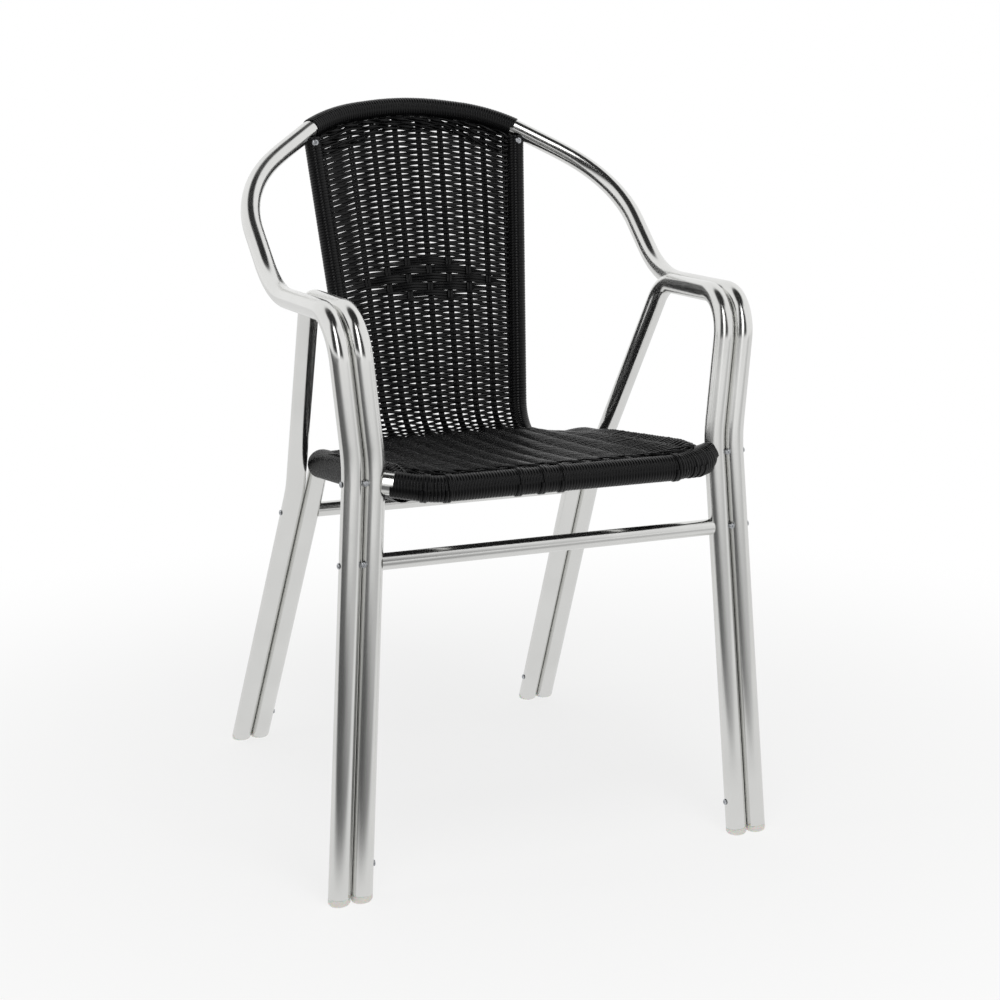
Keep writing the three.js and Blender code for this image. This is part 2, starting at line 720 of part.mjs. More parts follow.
// Shares of the way from the heel's bend to the hoop at which the back has its rows
const backRowShares = [0, 0.04, 0.08, 0.12, 0.16, 0.2, 0.28, 0.52, 0.76, 1];
const heelLiftShare = 0.28;
const fullBowShare = 0.25;
const crownStretchShare = 0.3;

// Shares of the half width, from the middle, at which the back has its stakes and its upright
const backStakeShares = [0, 0.22, 0.44, 0.66, 1];

function backAcross(spaces) {
  const inner = Math.min(Math.floor(spaces), backStakeShares.length - 2);
  return THREE.MathUtils.lerp(backStakeShares[inner], backStakeShares[inner + 1], spaces - inner);
}

// One column of the back: along the uprights, lifted over the bars at the heel and bowed back
function backColumn(spaces) {
  const stations = bentPath(uprightCorners(sides.right)).reverse();
  const upright = walk(stations.map(({ point, tangent }) => ({ point, tangent: tangent.clone().negate() })));
  const start = stations[0].point.distanceTo(stations[1].point);
  const span = upright.total - start;
  const across = backAcross(Math.abs(spaces));
  const clear = uprightWindingR + PANEL_SIDE_GAP;
  const points = backRowShares.map((level) => {
    const { point, tangent } = upright.at(start + span * level);
    const facing = new THREE.Vector3(0, -tangent.z, tangent.y).normalize();
    const lift = barLift * Math.max(0, 1 - level / heelLiftShare) ** 2;
    const bow = BACK_BOW * (1 - across ** 2) * Math.min(1, level / fullBowShare);
    const x = Math.min(across * point.x, point.x - clear);
    return point.clone().addScaledVector(facing, lift - bow).setX(Math.sign(spaces) * x);
  });
  const top = points[points.length - 1];
  const crown = hoopPointAt(top.x);
  const down = points[points.length - 2].clone().sub(crown).normalize();
  const reach = ribbedWindingR + SEAT_GAP + PANEL_STAKE_THICKNESS / 2;
  const stretch = crown.addScaledVector(down, reach).sub(top);
  return points.map((point, i) => {
    const share = Math.max(0, backRowShares[i] - crownStretchShare) / (1 - crownStretchShare);
    return point.addScaledVector(stretch, share);
  });
}

function backGrid() {
  const columns = panelColumns(backStakeShares.length - 1).map(({ spaces, thickness }) => (
    backColumn(spaces).map((point) => ({ point, thickness }))
  ));
  return backRowShares.map((_, i) => columns.map((column) => column[i]));
}

function addPanels(group) {
  addMesh(group, 'seat_woven_panel', sheet(seatGrid()), blackStrand);
  addMesh(group, 'back_woven_panel', sheet(backGrid()), blackStrand);
}

// A plug with a flat sole, a flange under the tube's end and a stem in its bore
function plugGeometry({ foot, knee }) {
  const axis = knee.clone().sub(foot).normalize();
  const onAxis = (height) => pointAtHeight(foot, knee, height);
  const across = new THREE.Vector3(1, 0, 0).addScaledVector(axis, -axis.x).normalize();
  const up = axis.clone().cross(across);
  const tilted = (height, radius) => polygon(radius, TUBE_SIDES).map((p) => (
    onAxis(height).addScaledVector(across, p.x).addScaledVector(up, p.y)
  ));
  const level = (height, radius) => polygon(radius, TUBE_SIDES).map((p) => (
    onAxis(height).add(new THREE.Vector3(p.x, p.y, 0))
  ));
  const stemR = (tubeR - FRAME_TUBE_WALL) * Math.cos(Math.PI / TUBE_SIDES) - PLUG_STEM_CLEARANCE;
  const flangeTop = PLUG_FLANGE_HEIGHT - SEAT_GAP;
  return loft([
    level(0, PLUG_SOLE_R),
    level(PLUG_ROUND_HEIGHT, PLUG_ROUND_R),
    tilted(flangeTop, tubeR),
    tilted(flangeTop, stemR),
    tilted(flangeTop + PLUG_STEM_LENGTH, stemR),
  ], false);
}

function addFootPlugs(group) {
  const insets = { outer: 0, inner: pairPitch };
  for (const [sideName, side] of Object.entries(sides)) {
    for (const [place, inset] of Object.entries(insets)) {
      const front = plugGeometry(frontCorners(side, inset));
      const rear = plugGeometry(rearCorners(side, inset));
      addMesh(group, `front_${sideName}_${place}_foot_plug`, front, clearPlastic);
      addMesh(group, `rear_${sideName}_${place}_foot_plug`, rear, clearPlastic);
    }
  }
}

// A low domed screw head that stands on a surface, facing along a direction
function screwHead(place, facing, diameter, height) {
  const radius = diameter / 2;
  const rimShare = 0.33;
  const crownShare = 0.55;
  const profile = [
    new THREE.Vector2(0, 0),
    new THREE.Vector2(radius, 0),
    new THREE.Vector2(radius, height * rimShare),
    new THREE.Vector2(radius * crownShare, height),
    new THREE.Vector2(0, height),
  ];
  const head = new THREE.LatheGeometry(profile, TUBE_SIDES);
  const turn = new THREE.Quaternion().setFromUnitVectors(new THREE.Vector3(0, 1, 0), facing);
  head.applyQuaternion(turn);
  head.translate(place.x, place.y, place.z);
  head.deleteAttribute('normal');
  head.deleteAttribute('uv');
  return BufferGeometryUtils.mergeVertices(head);
}

// A head on the leg that carries it, out from the leg's axis along X
function legScrew(leg, height, direction) {
  const facing = new THREE.Vector3(direction, 0, 0);
  const place = axisAtHeight(leg, height).addScaledVector(facing, tubeR + SEAT_GAP);
  return screwHead(place, facing, SCREW_HEAD_D, SCREW_HEAD_HEIGHT);
}

function backBolt(side) {
  const [top, heel] = uprightCorners(side);
  const drop = heel.point.clone().sub(top.point).normalize();
  const facing = new THREE.Vector3(0, drop.z, -drop.y).normalize();
  const place = top.point.clone()
    .addScaledVector(drop, BACK_BOLT_DROP)
    .addScaledVector(facing, uprightR + SEAT_GAP);
  return screwHead(place, facing, BACK_BOLT_HEAD_D, BACK_BOLT_HEAD_HEIGHT);
}

function addFasteners(group) {
  for (const [name, side] of Object.entries(sides)) {
    const legs = legPaths(side);
    const heads = {
      seat_rail_screw: legScrew(legs.outerFront, SEAT_RAIL_HEIGHT, side),
      front_stretcher_screw: legScrew(legs.outerFront, frontStretcherHeight, side),
      rear_stretcher_screw: legScrew(legs.outerRear, rearStretcherHeight, side),
      front_foot_tie_screw: legScrew(legs.innerFront, TIE_SCREW_HEIGHT, -side),
      rear_foot_tie_screw: legScrew(legs.innerRear, TIE_SCREW_HEIGHT, -side),
      back_upright_bolt: backBolt(side),
    };
    for (const [kind, head] of Object.entries(heads)) {
      addMesh(group, `${name}_${kind}`, head, plainSteel);
    }
  }
}

function buildChair() {
  const chair = new THREE.Group();
  addFrame(chair);
  addStretchers(chair);
  addSeatFrame(chair);
  addWindings(chair);
  addPanels(chair);
  addFootPlugs(chair);
  addFasteners(chair);
  const reach = new THREE.Box3().setFromObject(chair);
  chair.position.y = -(reach.min.y + reach.max.y) / 2;
  return chair;
}

export default buildChair();
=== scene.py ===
"""Looks of a stacking cafe armchair: bright doubled tubes with a black woven seat and back.

Sizes are in millimetres from the middle between the front feet; place() turns them into the
row frame in metres. The sitter faces -Y, and left and right are the viewer's.
"""
import logging
import math
from dataclasses import dataclass, field
from enum import Enum
from typing import Any, Callable, Iterable, Sequence

import bpy
from bpy.types import Material, Node, NodeSocket as Socket, NodeTree, Object
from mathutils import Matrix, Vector


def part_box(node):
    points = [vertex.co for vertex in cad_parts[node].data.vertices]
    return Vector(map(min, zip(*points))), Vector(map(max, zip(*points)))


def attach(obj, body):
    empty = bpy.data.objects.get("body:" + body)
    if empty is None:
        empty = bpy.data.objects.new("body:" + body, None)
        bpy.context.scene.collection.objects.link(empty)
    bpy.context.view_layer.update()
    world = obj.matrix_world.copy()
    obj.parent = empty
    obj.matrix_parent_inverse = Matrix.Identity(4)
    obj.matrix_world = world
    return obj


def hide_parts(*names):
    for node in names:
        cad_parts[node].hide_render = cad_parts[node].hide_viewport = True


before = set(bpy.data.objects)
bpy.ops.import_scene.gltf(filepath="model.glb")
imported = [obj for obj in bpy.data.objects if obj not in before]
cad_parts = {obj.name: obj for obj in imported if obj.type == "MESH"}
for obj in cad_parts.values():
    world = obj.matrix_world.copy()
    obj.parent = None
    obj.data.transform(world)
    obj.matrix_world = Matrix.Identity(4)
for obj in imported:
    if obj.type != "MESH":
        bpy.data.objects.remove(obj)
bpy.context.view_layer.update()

LOG = logging.getLogger("chair")

MM = 0.001
FOOTPRINT_MIDDLE = 291.0
BEND_STEP = math.radians(3.0)
TUBE_SIDES = 40
STRAND_SIDES = 8
BODY = "root"
SURFACE_MAP = "place"
TUBE_MAP = "along_tube"


def place(point: Sequence[float]) -> Vector:
    """Turns a place in millimetres from the front feet into the row frame, in metres."""
    x, y, z = point
    return Vector((x, y - FOOTPRINT_MIDDLE, z)) * MM


def linear(hex_colour: str) -> tuple[float, float, float, float]:
    """Turns an sRGB hex colour into linear red, green, blue and alpha.

    Args:
        hex_colour: a colour such as "#1b1b1d".

    Returns:
        Four linear values from 0 to 1.
    """
    values = [int(hex_colour[i:i + 2], 16) / 255 for i in (1, 3, 5)]
    r, g, b = (v / 12.92 if v <= 0.04045 else ((v + 0.055) / 1.055) ** 2.4 for v in values)
    return r, g, b, 1.0


def add_node(tree: NodeTree, kind: str, inputs: dict[Any, Any] | None = None,
             **settings: Any) -> Node:
    """Adds a node, sets it up, and sets or links its inputs.

    Args:
        tree: the tree that gets the node.
        kind: the node's type.
        inputs: a value, or a socket to link, for each input by name or number.
        settings: the node's own settings.

    Returns:
        The new node.
    """
    node = tree.nodes.new(kind)
    for name, value in settings.items():
        setattr(node, name, value)
    for key, value in (inputs or {}).items():
        if isinstance(value, Socket):
            tree.links.new(value, node.inputs[key])
        else:
            node.inputs[key].default_value = value
    return node


class Side(Enum):
    """A side of the chair, as seen by someone who stands in front of it."""

    LEFT = -1
    RIGHT = 1

    @property
    def label(self) -> str:
        """The side's name as node names have it."""
        return self.name.lower()


@dataclass(frozen=True)
class Corner:
    """A corner of a bent tube, in millimetres, and the radius that rounds it."""

    point: Vector
    radius: float = 0.0


def run_lengths(points: Sequence[Vector]) -> list[float]:
    """Measures how far along a line each of its points lies.

    Args:
        points: the line.

    Returns:
        The length up to each point.
    """
    lengths = [0.0]
    for a, b in zip(points, points[1:]):
        lengths.append(lengths[-1] + (b - a).length)
    return lengths


class TubePath:
    """The centre line of a tube, in the row frame, measured by its length."""

    def __init__(self, corners: Sequence[Corner]) -> None:
        """Rounds the corners and measures the line.

        Args:
            corners: the tube's ends and the corners between them.
        """
        points = [corners[0].point]
        for before, at, after in zip(corners, corners[1:], corners[2:]):
            points.extend(self.arc(before.point, at, after.point))
        points.append(corners[-1].point)
        self.points = [place(p) for p in points]
        self.lengths = run_lengths(self.points)

    @staticmethod
    def arc(before: Vector, at: Corner, after: Vector) -> list[Vector]:
        """Gives the points of the bend that rounds a corner.

        Args:
            before: the place before the corner.
            at: the corner.
            after: the place after it.

        Returns:
            Points from the start of the bend to its end.
        """
        incoming = (at.point - before).normalized()
        outgoing = (after - at.point).normalized()
        turn = incoming.angle(outgoing)
        start = at.point - incoming * at.radius * math.tan(turn / 2)
        inward = (outgoing - incoming * outgoing.dot(incoming)).normalized()
        centre = start + inward * at.radius
        steps = max(2, math.ceil(turn / BEND_STEP))
        angles = [turn * k / steps for k in range(steps + 1)]
        return [centre + (incoming * math.sin(a) - inward * math.cos(a)) * at.radius for a in angles]

    @property
    def total(self) -> float:
        """The length of the line in metres."""
        return self.lengths[-1]

    def at(self, length: float) -> Vector:
        """Gives the place at a length along the line.

        Args:
            length: metres from the start.

        Returns:
            A point on the line.
        """
        for i in range(1, len(self.points)):
            if self.lengths[i] >= length or i == len(self.points) - 1:
                span = self.lengths[i] - self.lengths[i - 1]
                return self.points[i - 1].lerp(self.points[i], (length - self.lengths[i - 1]) / span)
        return self.points[-1]

    def length_where(self, test: Callable[[Vector], bool], step: float = MM) -> float:
        """Finds the first length at which a place on the line passes a test.

        Args:
            test: says yes or no to a place.
            step: how far apart the places tried lie, in metres.

        Returns:
            The length in metres.
        """
        length = 0.0
        while length < self.total and not test(self.at(length)):
            length += step
        return length

    def part(self, start: float, end: float) -> list[Vector]:
        """Gives the two ends of a part of the line, and the points between them."""
        inner = [p for p, d in zip(self.points, self.lengths) if start < d < end]
        return [self.at(start), *inner, self.at(end)]


def new_object(name: str, vertices: Sequence[Vector], faces: Sequence[Sequence[int]],
               edges: Sequence[Sequence[int]] = ()) -> Object:
    """Makes an object whose place is in its mesh.

    Args:
        name: the object's name.
        vertices: places in the row frame.
        faces: numbers of each face's vertices.
        edges: numbers of each loose edge's vertices.

    Returns:
        The new object.
    """
    mesh = bpy.data.meshes.new(name)
    mesh.from_pydata([tuple(v) for v in vertices], [tuple(e) for e in edges], [tuple(f) for f in faces])
    mesh.validate()
    made = bpy.data.objects.new(name, mesh)
    bpy.context.scene.collection.objects.link(made)
    return made


def smooth(made: Object, sharp_over: float = math.radians(40)) -> None:
    """Shades an object smooth, but for edges past an angle."""
    made.data.shade_smooth()
    made.data.set_sharp_from_angle(angle=sharp_over)


def finish_piece(made: Object, material: Material,
                 nodes: Iterable[str]) -> None:
    """Dresses a piece, lets it ride on the chair and puts it in its nodes' place.

    Args:
        made: the piece.
        material: its finish.
        nodes: the CAD nodes that it stands for.
    """
    made.data.materials.clear()
    made.data.materials.append(material)
    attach(made, BODY)
    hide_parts(*nodes)
    LOG.info("%s: %d faces", made.name, len(made.data.polygons))


def ring_angles(count: int) -> list[float]:
    """Gives even angles once round."""
    return [2 * math.pi * k / count for k in range(count)]


def lofted(name: str, rings: Sequence[Sequence[Vector]]) -> Object:
    """Makes a closed solid through rings, with flat ends.

    Args:
        name: the object's name.
        rings: places round each ring, as many in each.

    Returns:
        The solid.
    """
    count = len(rings[0])
    vertices = [p for ring in rings for p in ring]
    faces = [list(range(count))[::-1], [len(vertices) - count + k for k in range(count)]]
    for i in range(len(rings) - 1):
        for k in range(count):
            a, b = i * count + k, i * count + (k + 1) % count
            faces.append([a, b, b + count, a + count])
    made = new_object(name, vertices, faces)
    smooth(made)
    return made


def tube_object(name: str, points: Sequence[Vector], radius: float) -> Object:
    """Sweeps a round tube along a line, with a map of its length and girth.

    Args:
        name: the object's name.
        points: the centre line.
        radius: the tube's radius in metres.

    Returns:
        The closed tube.
    """
    tangents = [(b - a).normalized() for a, b in zip(points, points[1:])]
    directions = [tangents[0]]
    directions += [(a + b).normalized() for a, b in zip(tangents, tangents[1:])]
    directions.append(tangents[-1])
    across = directions[0].orthogonal().normalized()
    rings = []
    for i, (point, direction) in enumerate(zip(points, directions)):
        if i:
            across = directions[i - 1].rotation_difference(direction) @ across
        across = (across - direction * across.dot(direction)).normalized()
        up = direction.cross(across)
        spokes = [across * math.cos(angle) + up * math.sin(angle) for angle in ring_angles(TUBE_SIDES)]
        rings.append([point + spoke * radius for spoke in spokes])
    made = lofted(name, rings)
    run = run_lengths(points)
    girth = 2 * math.pi * radius
    layer = made.data.uv_layers.new(name=TUBE_MAP)
    for face in made.data.polygons:
        numbers = [made.data.loops[i].vertex_index for i in face.loop_indices]
        closes = face.loop_total == 4 and any((n + 1) % TUBE_SIDES == 0 for n in numbers)
        for i, number in zip(face.loop_indices, numbers):
            ring, k = divmod(number, TUBE_SIDES)
            turn = 1.0 if closes and k == 0 else k / TUBE_SIDES
            layer.data[i].uv = (run[ring], turn * girth)
    return made


@dataclass(frozen=True)
class FrameLines:
    """Sizes of the tube frame in millimetres, and the lines that its tubes follow."""

    tube_d: float = 25.0
    upright_d: float = 20.0
    stretcher_d: float = 19.0
    pair_gap: float = 0.6
    front_foot: Vector = field(default_factory=lambda: Vector((262.0, 0.0, 0.0)))
    front_knee: Vector = field(default_factory=lambda: Vector((240.6, 18.3, 480.0)))
    arm_front: Vector = field(default_factory=lambda: Vector((260.9, 20.0, 651.8)))
    arm_rear: Vector = field(default_factory=lambda: Vector((264.7, 270.5, 651.8)))
    rear_knee: Vector = field(default_factory=lambda: Vector((211.1, 371.3, 388.2)))
    rear_foot: Vector = field(default_factory=lambda: Vector((227.5, 597.9, 0.0)))
    knee_r: float = 250.0
    arm_bend_r: float = 55.0
    side_bend_setback: float = 207.4
    side_bend_r: float = 50.0
    crown_setback: float = 558.5
    crown_height: float = 880.3
    hoop_foot_r: float = 167.0
    shoulder: tuple[float, float, float] = (122.0, 21.3, 174.0)
    flank: tuple[float, float, float] = (201.4, 98.2, 257.0)
    hip: tuple[float, float, float] = (270.2, 170.9, 201.0)
    crown: tuple[float, float, float] = (0.0, -3.6, 268.0)
    rail_height: float = 461.6
    rail_dip: float = 8.6
    rail_bow: float = 27.6
    rail_bow_half_width: float = 155.0
    rail_bow_r: float = 70.0
    rear_rail_setback: float = 379.0
    rear_corner_height: float = 424.0
    rear_corner_r: float = 45.0
    rear_rail_height: float = 404.4
    rear_rail_half_width: float = 133.0
    rear_rail_bend_r: float = 40.0
    rear_leg_arc_share: float = 0.26
    upright_top: Vector = field(default_factory=lambda: Vector((149.6, 512.3, 837.9)))
    upright_heel: Vector = field(default_factory=lambda: Vector((113.0, 407.2, 427.8)))
    upright_heel_r: float = 60.0
    front_stretcher_height: float = 371.7
    rear_stretcher_height: float = 354.7
    plug_flange: float = 8.0
    strand_build_up: float = 2.86

    @property
    def tube_r(self) -> float:
        """The radius of the frame's main tube."""
        return self.tube_d / 2

    @property
    def pair_pitch(self) -> float:
        """The distance between the axes of two tubes that lie side by side."""
        return self.tube_d + self.pair_gap

    @property
    def side_rail_half_width(self) -> float:
        """Half the distance between the axes of the seat's side rails."""
        return self.rail_end(Side.RIGHT).x - self.tube_d - self.strand_build_up

    @staticmethod
    def sided(point: Vector, side: Side, inset: float = 0.0) -> Vector:
        """Gives a point of the right side its place on either side, moved inwards."""
        return Vector((side.value * (point.x - inset), point.y, point.z))

    @staticmethod
    def at_height(a: Vector, b: Vector, height: float) -> Vector:
        """Gives the place at a height on the line through two points."""
        return a.lerp(b, (height - a.z) / (b.z - a.z))

    def leg(self, foot: Vector, knee: Vector, side: Side, inset: float) -> list[Corner]:
        """Gives a leg's end above its plug, and its knee, from its foot and knee on the right side."""
        low, bend = self.sided(foot, side, inset), self.sided(knee, side, inset)
        return [Corner(self.at_height(low, bend, self.plug_flange)), Corner(bend, self.knee_r)]

    def on_slope(self, side: Side, spec: tuple[float, float, float]) -> Corner:
        """Gives a corner of the hoop on the slope that it leans in.

        Args:
            side: the side wanted.
            spec: half width, drop down the slope, and bend radius.

        Returns:
            The corner.
        """
        half_width, drop, radius = spec
        rise = self.crown_height - self.arm_rear.z
        run = self.crown_setback - self.arm_rear.y
        slope = math.hypot(rise, run)
        setback = self.crown_setback - drop * run / slope
        height = self.crown_height - drop * rise / slope
        return Corner(Vector((side.value * half_width, setback, height)), radius)

    def hoop_side(self, side: Side) -> list[Corner]:
        """Gives one side's corners of the hoop tube, from its foot to the crown.

        Args:
            side: the side wanted.

        Returns:
            The corners.
        """
        return [
            *self.leg(self.front_foot, self.front_knee, side, 0.0),
            Corner(self.sided(self.arm_front, side), self.arm_bend_r),
            Corner(self.sided(self.arm_rear, side), self.hoop_foot_r),
            self.on_slope(side, self.hip),
            self.on_slope(side, self.flank),
            self.on_slope(side, self.shoulder),
        ]

    def hoop(self) -> TubePath:
        """The line of the hoop tube, from the left foot over the crown to the right one."""
        left, right = self.hoop_side(Side.LEFT), self.hoop_side(Side.RIGHT)
        return TubePath([*left, self.on_slope(Side.RIGHT, self.crown), *right[::-1]])

    def side_tube(self, side: Side) -> TubePath:
        """The line of a side tube, from the inner front foot to the outer rear foot.

        Args:
            side: the side wanted.

        Returns:
            The line.
        """
        share = (self.side_bend_setback - self.arm_front.y) / (self.arm_rear.y - self.arm_front.y)
        bend = self.arm_front.lerp(self.arm_rear, share)
        return TubePath([
            *self.leg(self.front_foot, self.front_knee, side, self.pair_pitch),
            Corner(self.sided(self.arm_front, side, self.pair_pitch), self.arm_bend_r),
            Corner(self.sided(bend, side, self.pair_pitch), self.side_bend_r),
            *self.leg(self.rear_foot, self.rear_knee, side, 0.0)[::-1],
        ])

    def rear_leg(self, side: Side) -> TubePath:
        """The line of an inner rear leg, up to the corner of the seat frame.

        Args:
            side: the side wanted.

        Returns:
            The line.
        """
        leg = self.leg(self.rear_foot, self.rear_knee, side, self.pair_pitch)
        front, bend, rear = self.bow_side(side)
        arc = TubePath.arc(front.point, bend, rear.point)
        return TubePath([*leg, Corner(arc[round(self.rear_leg_arc_share * (len(arc) - 1))])])

    def rail_end(self, side: Side) -> Vector:
        """The end of the seat's front rail, on the axis of the inner leg.

        Args:
            side: the side wanted.

        Returns:
            The place.
        """
        foot = self.sided(self.front_foot, side, self.pair_pitch)
        knee = self.sided(self.front_knee, side, self.pair_pitch)
        return self.at_height(foot, knee, self.rail_height)

    def rail_corner(self, side: Side) -> Corner:
        """The corner where the front rail turns into its bowed middle.

        Args:
            side: the side wanted.

        Returns:
            The corner.
        """
        end = self.rail_end(side)
        low = Vector((side.value * self.rail_bow_half_width, end.y - self.rail_bow, end.z - self.rail_dip))
        return Corner(low, self.rail_bow_r)

    def front_rail(self) -> TubePath:
        """The line of the seat's front rail, from left to right."""
        ends = [Corner(self.rail_end(side)) for side in Side]
        return TubePath([ends[0], *(self.rail_corner(side) for side in Side), ends[1]])

    def side_rail_front(self, side: Side) -> Vector:
        """The front end of a side rail, on the axis of the front rail.

        Args:
            side: the side wanted.

        Returns:
            The place.
        """
        end, bow = self.rail_end(side), self.rail_corner(side).point
        share = (abs(end.x) - self.side_rail_half_width) / (abs(end.x) - abs(bow.x))
        return end.lerp(bow, share)

    def bow_side(self, side: Side) -> list[Corner]:
        """Gives one side's corners of the bow that is both side rails and the rear rail.

        Args:
            side: the side wanted.

        Returns:
            The corners, from the front.
        """
        front = self.side_rail_front(side)
        rear = Vector((front.x, self.rear_rail_setback, self.rear_corner_height))
        low = Vector((side.value * self.rear_rail_half_width, self.rear_rail_setback, self.rear_rail_height))
        return [Corner(front), Corner(rear, self.rear_corner_r), Corner(low, self.rear_rail_bend_r)]

    def bow(self) -> TubePath:
        """The line of the seat's rear bow, from the left front to the right front."""
        return TubePath([*self.bow_side(Side.LEFT), *self.bow_side(Side.RIGHT)[::-1]])

    def upright(self, side: Side) -> TubePath:
        """The line of a back upright, from the front rail under the seat up to the hoop.

        Args:
            side: the side wanted.

        Returns:
            The line.
        """
        heel = self.sided(self.upright_heel, side)
        rail = self.rail_corner(side).point
        return TubePath([
            Corner(Vector((heel.x, rail.y, rail.z))),
            Corner(heel, self.upright_heel_r),
            Corner(self.sided(self.upright_top, side)),
        ])


@dataclass(frozen=True)
class Ramp:
    """A step of a value along one measure."""

    start: float
    end: float
    low: float = 0.0
    high: float = 1.0
    shape: str = "SMOOTHSTEP"

    def add(self, tree: NodeTree, value: Socket) -> Socket:
        """Adds the step to a tree.

        Args:
            tree: the tree.
            value: the measure.

        Returns:
            The stepped value.
        """
        ends = {"From Min": self.start, "From Max": self.end, "To Min": self.low, "To Max": self.high}
        inputs = {"Value": value, **ends}
        return add_node(tree, "ShaderNodeMapRange", inputs, interpolation_type=self.shape).outputs[0]


def sums(tree: NodeTree, known: dict[str, Any], rows: Sequence[tuple[Any, ...]]) -> None:
    """Adds a run of sums, each with a name that later rows can use.

    Args:
        tree: the tree.
        known: sockets by name, to which the results are added.
        rows: for each sum its name, its operation and its terms.
    """
    for name, operation, *terms in rows:
        inputs = {i: known[t] if isinstance(t, str) else t for i, t in enumerate(terms)}
        known[name] = add_node(tree, "ShaderNodeMath", inputs, operation=operation).outputs[0]


def vector(tree: NodeTree, operation: str, *terms: Any) -> Socket:
    """Adds a sum of vectors.

    Args:
        tree: the tree.
        operation: what is done.
        terms: the vectors, or a vector and its scale.

    Returns:
        The result.
    """
    keys = (0, "Scale") if operation == "SCALE" else (0, 1)
    node = add_node(tree, "ShaderNodeVectorMath", dict(zip(keys, terms)), operation=operation)
    return node.outputs["Value" if operation in ("DOT_PRODUCT", "LENGTH") else "Vector"]


def combined(tree: NodeTree, *parts: Any) -> Socket:
    """Adds a vector made of x, y and z, or of the first of them."""
    return add_node(tree, "ShaderNodeCombineXYZ", dict(zip("XYZ", parts))).outputs[0]


def noise(tree: NodeTree, where: Socket, scale: float, detail: float = 2.0) -> Socket:
    """Adds a noise from 0 to 1 over places."""
    inputs = {"Vector": where, "Scale": scale, "Detail": detail}
    return add_node(tree, "ShaderNodeTexNoise", inputs).outputs["Fac"]


def object_place(tree: NodeTree) -> Socket:
    """Adds the place on the object, which is its place in the row frame."""
    return add_node(tree, "ShaderNodeTexCoord").outputs["Object"]


def toned(tree: NodeTree, share: Socket, colour: str, other: str) -> Socket:
    """Adds a colour between two sRGB hex colours."""
    inputs = {"Factor": share, "A": linear(colour), "B": linear(other)}
    return add_node(tree, "ShaderNodeMix", inputs, data_type="RGBA").outputs["Result"]


def bumped(tree: NodeTree, height: Socket, strength: float, depth_mm: float) -> Socket:
    """Adds a fine relief, whose depth is in millimetres."""
    inputs = {"Height": height, "Strength": strength, "Distance": depth_mm * MM}
    return add_node(tree, "ShaderNodeBump", inputs).outputs[0]


def principled(name: str, values: dict[str, float]) -> tuple[Material, Node]:
    """Starts a material.

    Args:
        name: the material's name.
        values: what is the same all over, by the name of the shader's input.

    Returns:
        The material and its shader.
    """
    material = bpy.data.materials.new(name)
    material.use_nodes = True
    shader = material.node_tree.nodes["Principled BSDF"]
    for label, value in values.items():
        shader.inputs[label].default_value = value
    return material, shader


def feed(shader: Node, sockets: dict[str, Socket]) -> None:
    """Links sockets to a shader's inputs by name."""
    for label, socket in sockets.items():
        shader.id_data.links.new(socket, shader.inputs[label])


@dataclass(frozen=True)
class PolishedAluminium:
    """Drawn aluminium tube, buffed bright.

    The eye sees a clear but slightly soft mirror, with faint draw lines along the tube.
    """

    name: str = "polished_drawn_aluminium"
    colour: str = "#e9e9e7"
    dull_colour: str = "#dcdcda"
    roughness: tuple[float, float] = (0.14, 0.24)
    grain_range: tuple[float, float] = (0.1, 0.45)
    draw_line_mm: float = 0.9
    draw_line_length_mm: float = 120.0
    draw_line_depth_mm: float = 0.05
    clouds_per_metre: float = 14.0
    bump: float = 0.05

    def build(self) -> Material:
        """Makes the material from the tube's own map of length and girth."""
        material, shader = principled(self.name, {"Metallic": 1.0})
        tree = material.node_tree
        along = add_node(tree, "ShaderNodeUVMap", uv_map=TUBE_MAP).outputs["UV"]
        scale = (1 / (self.draw_line_length_mm * MM), 1 / (self.draw_line_mm * MM), 1.0)
        lines = add_node(tree, "ShaderNodeMapping", {"Vector": along, "Scale": scale}).outputs[0]
        known = {"grain": noise(tree, lines, 1.0, 4.0),
                 "cloud": noise(tree, object_place(tree), self.clouds_per_metre)}
        sums(tree, known, [("mixed", "MULTIPLY", "grain", "cloud")])
        feed(shader, {
            "Roughness": Ramp(*self.grain_range, *self.roughness, "LINEAR").add(tree, known["mixed"]),
            "Base Color": toned(tree, known["cloud"], self.colour, self.dull_colour),
            "Normal": bumped(tree, known["grain"], self.bump, self.draw_line_depth_mm),
        })
        return material


@dataclass(frozen=True)
class ExtrudedStrand:
    """Black polyethylene strand, extruded with a satin skin.

    The eye sees near black with a soft grey light along each strand and a slight unevenness.
    """

    name: str = "extruded_polyethylene_strand"
    colour: str = "#060607"
    worn_colour: str = "#0b0b0c"
    roughness: tuple[float, float] = (0.2, 0.32)
    patch_range: tuple[float, float] = (0.3, 0.7)
    shine: float = 0.22
    ior: float = 1.5
    unevenness_mm: float = 6.0
    grain_mm: float = 1.0
    grain_depth_mm: float = 0.1
    bump: float = 0.15

    def build(self) -> Material:
        """Makes the material from the strands' own places."""
        material, shader = principled(self.name, {"IOR": self.ior, "Specular IOR Level": self.shine})
        tree = material.node_tree
        where = object_place(tree)
        patch = noise(tree, where, 1 / (self.unevenness_mm * MM))
        grain = noise(tree, where, 1 / (self.grain_mm * MM), 3.0)
        feed(shader, {
            "Base Color": toned(tree, patch, self.colour, self.worn_colour),
            "Roughness": Ramp(*self.patch_range, *self.roughness, "LINEAR").add(tree, patch),
            "Normal": bumped(tree, grain, self.bump, self.grain_depth_mm),
        })
        return material


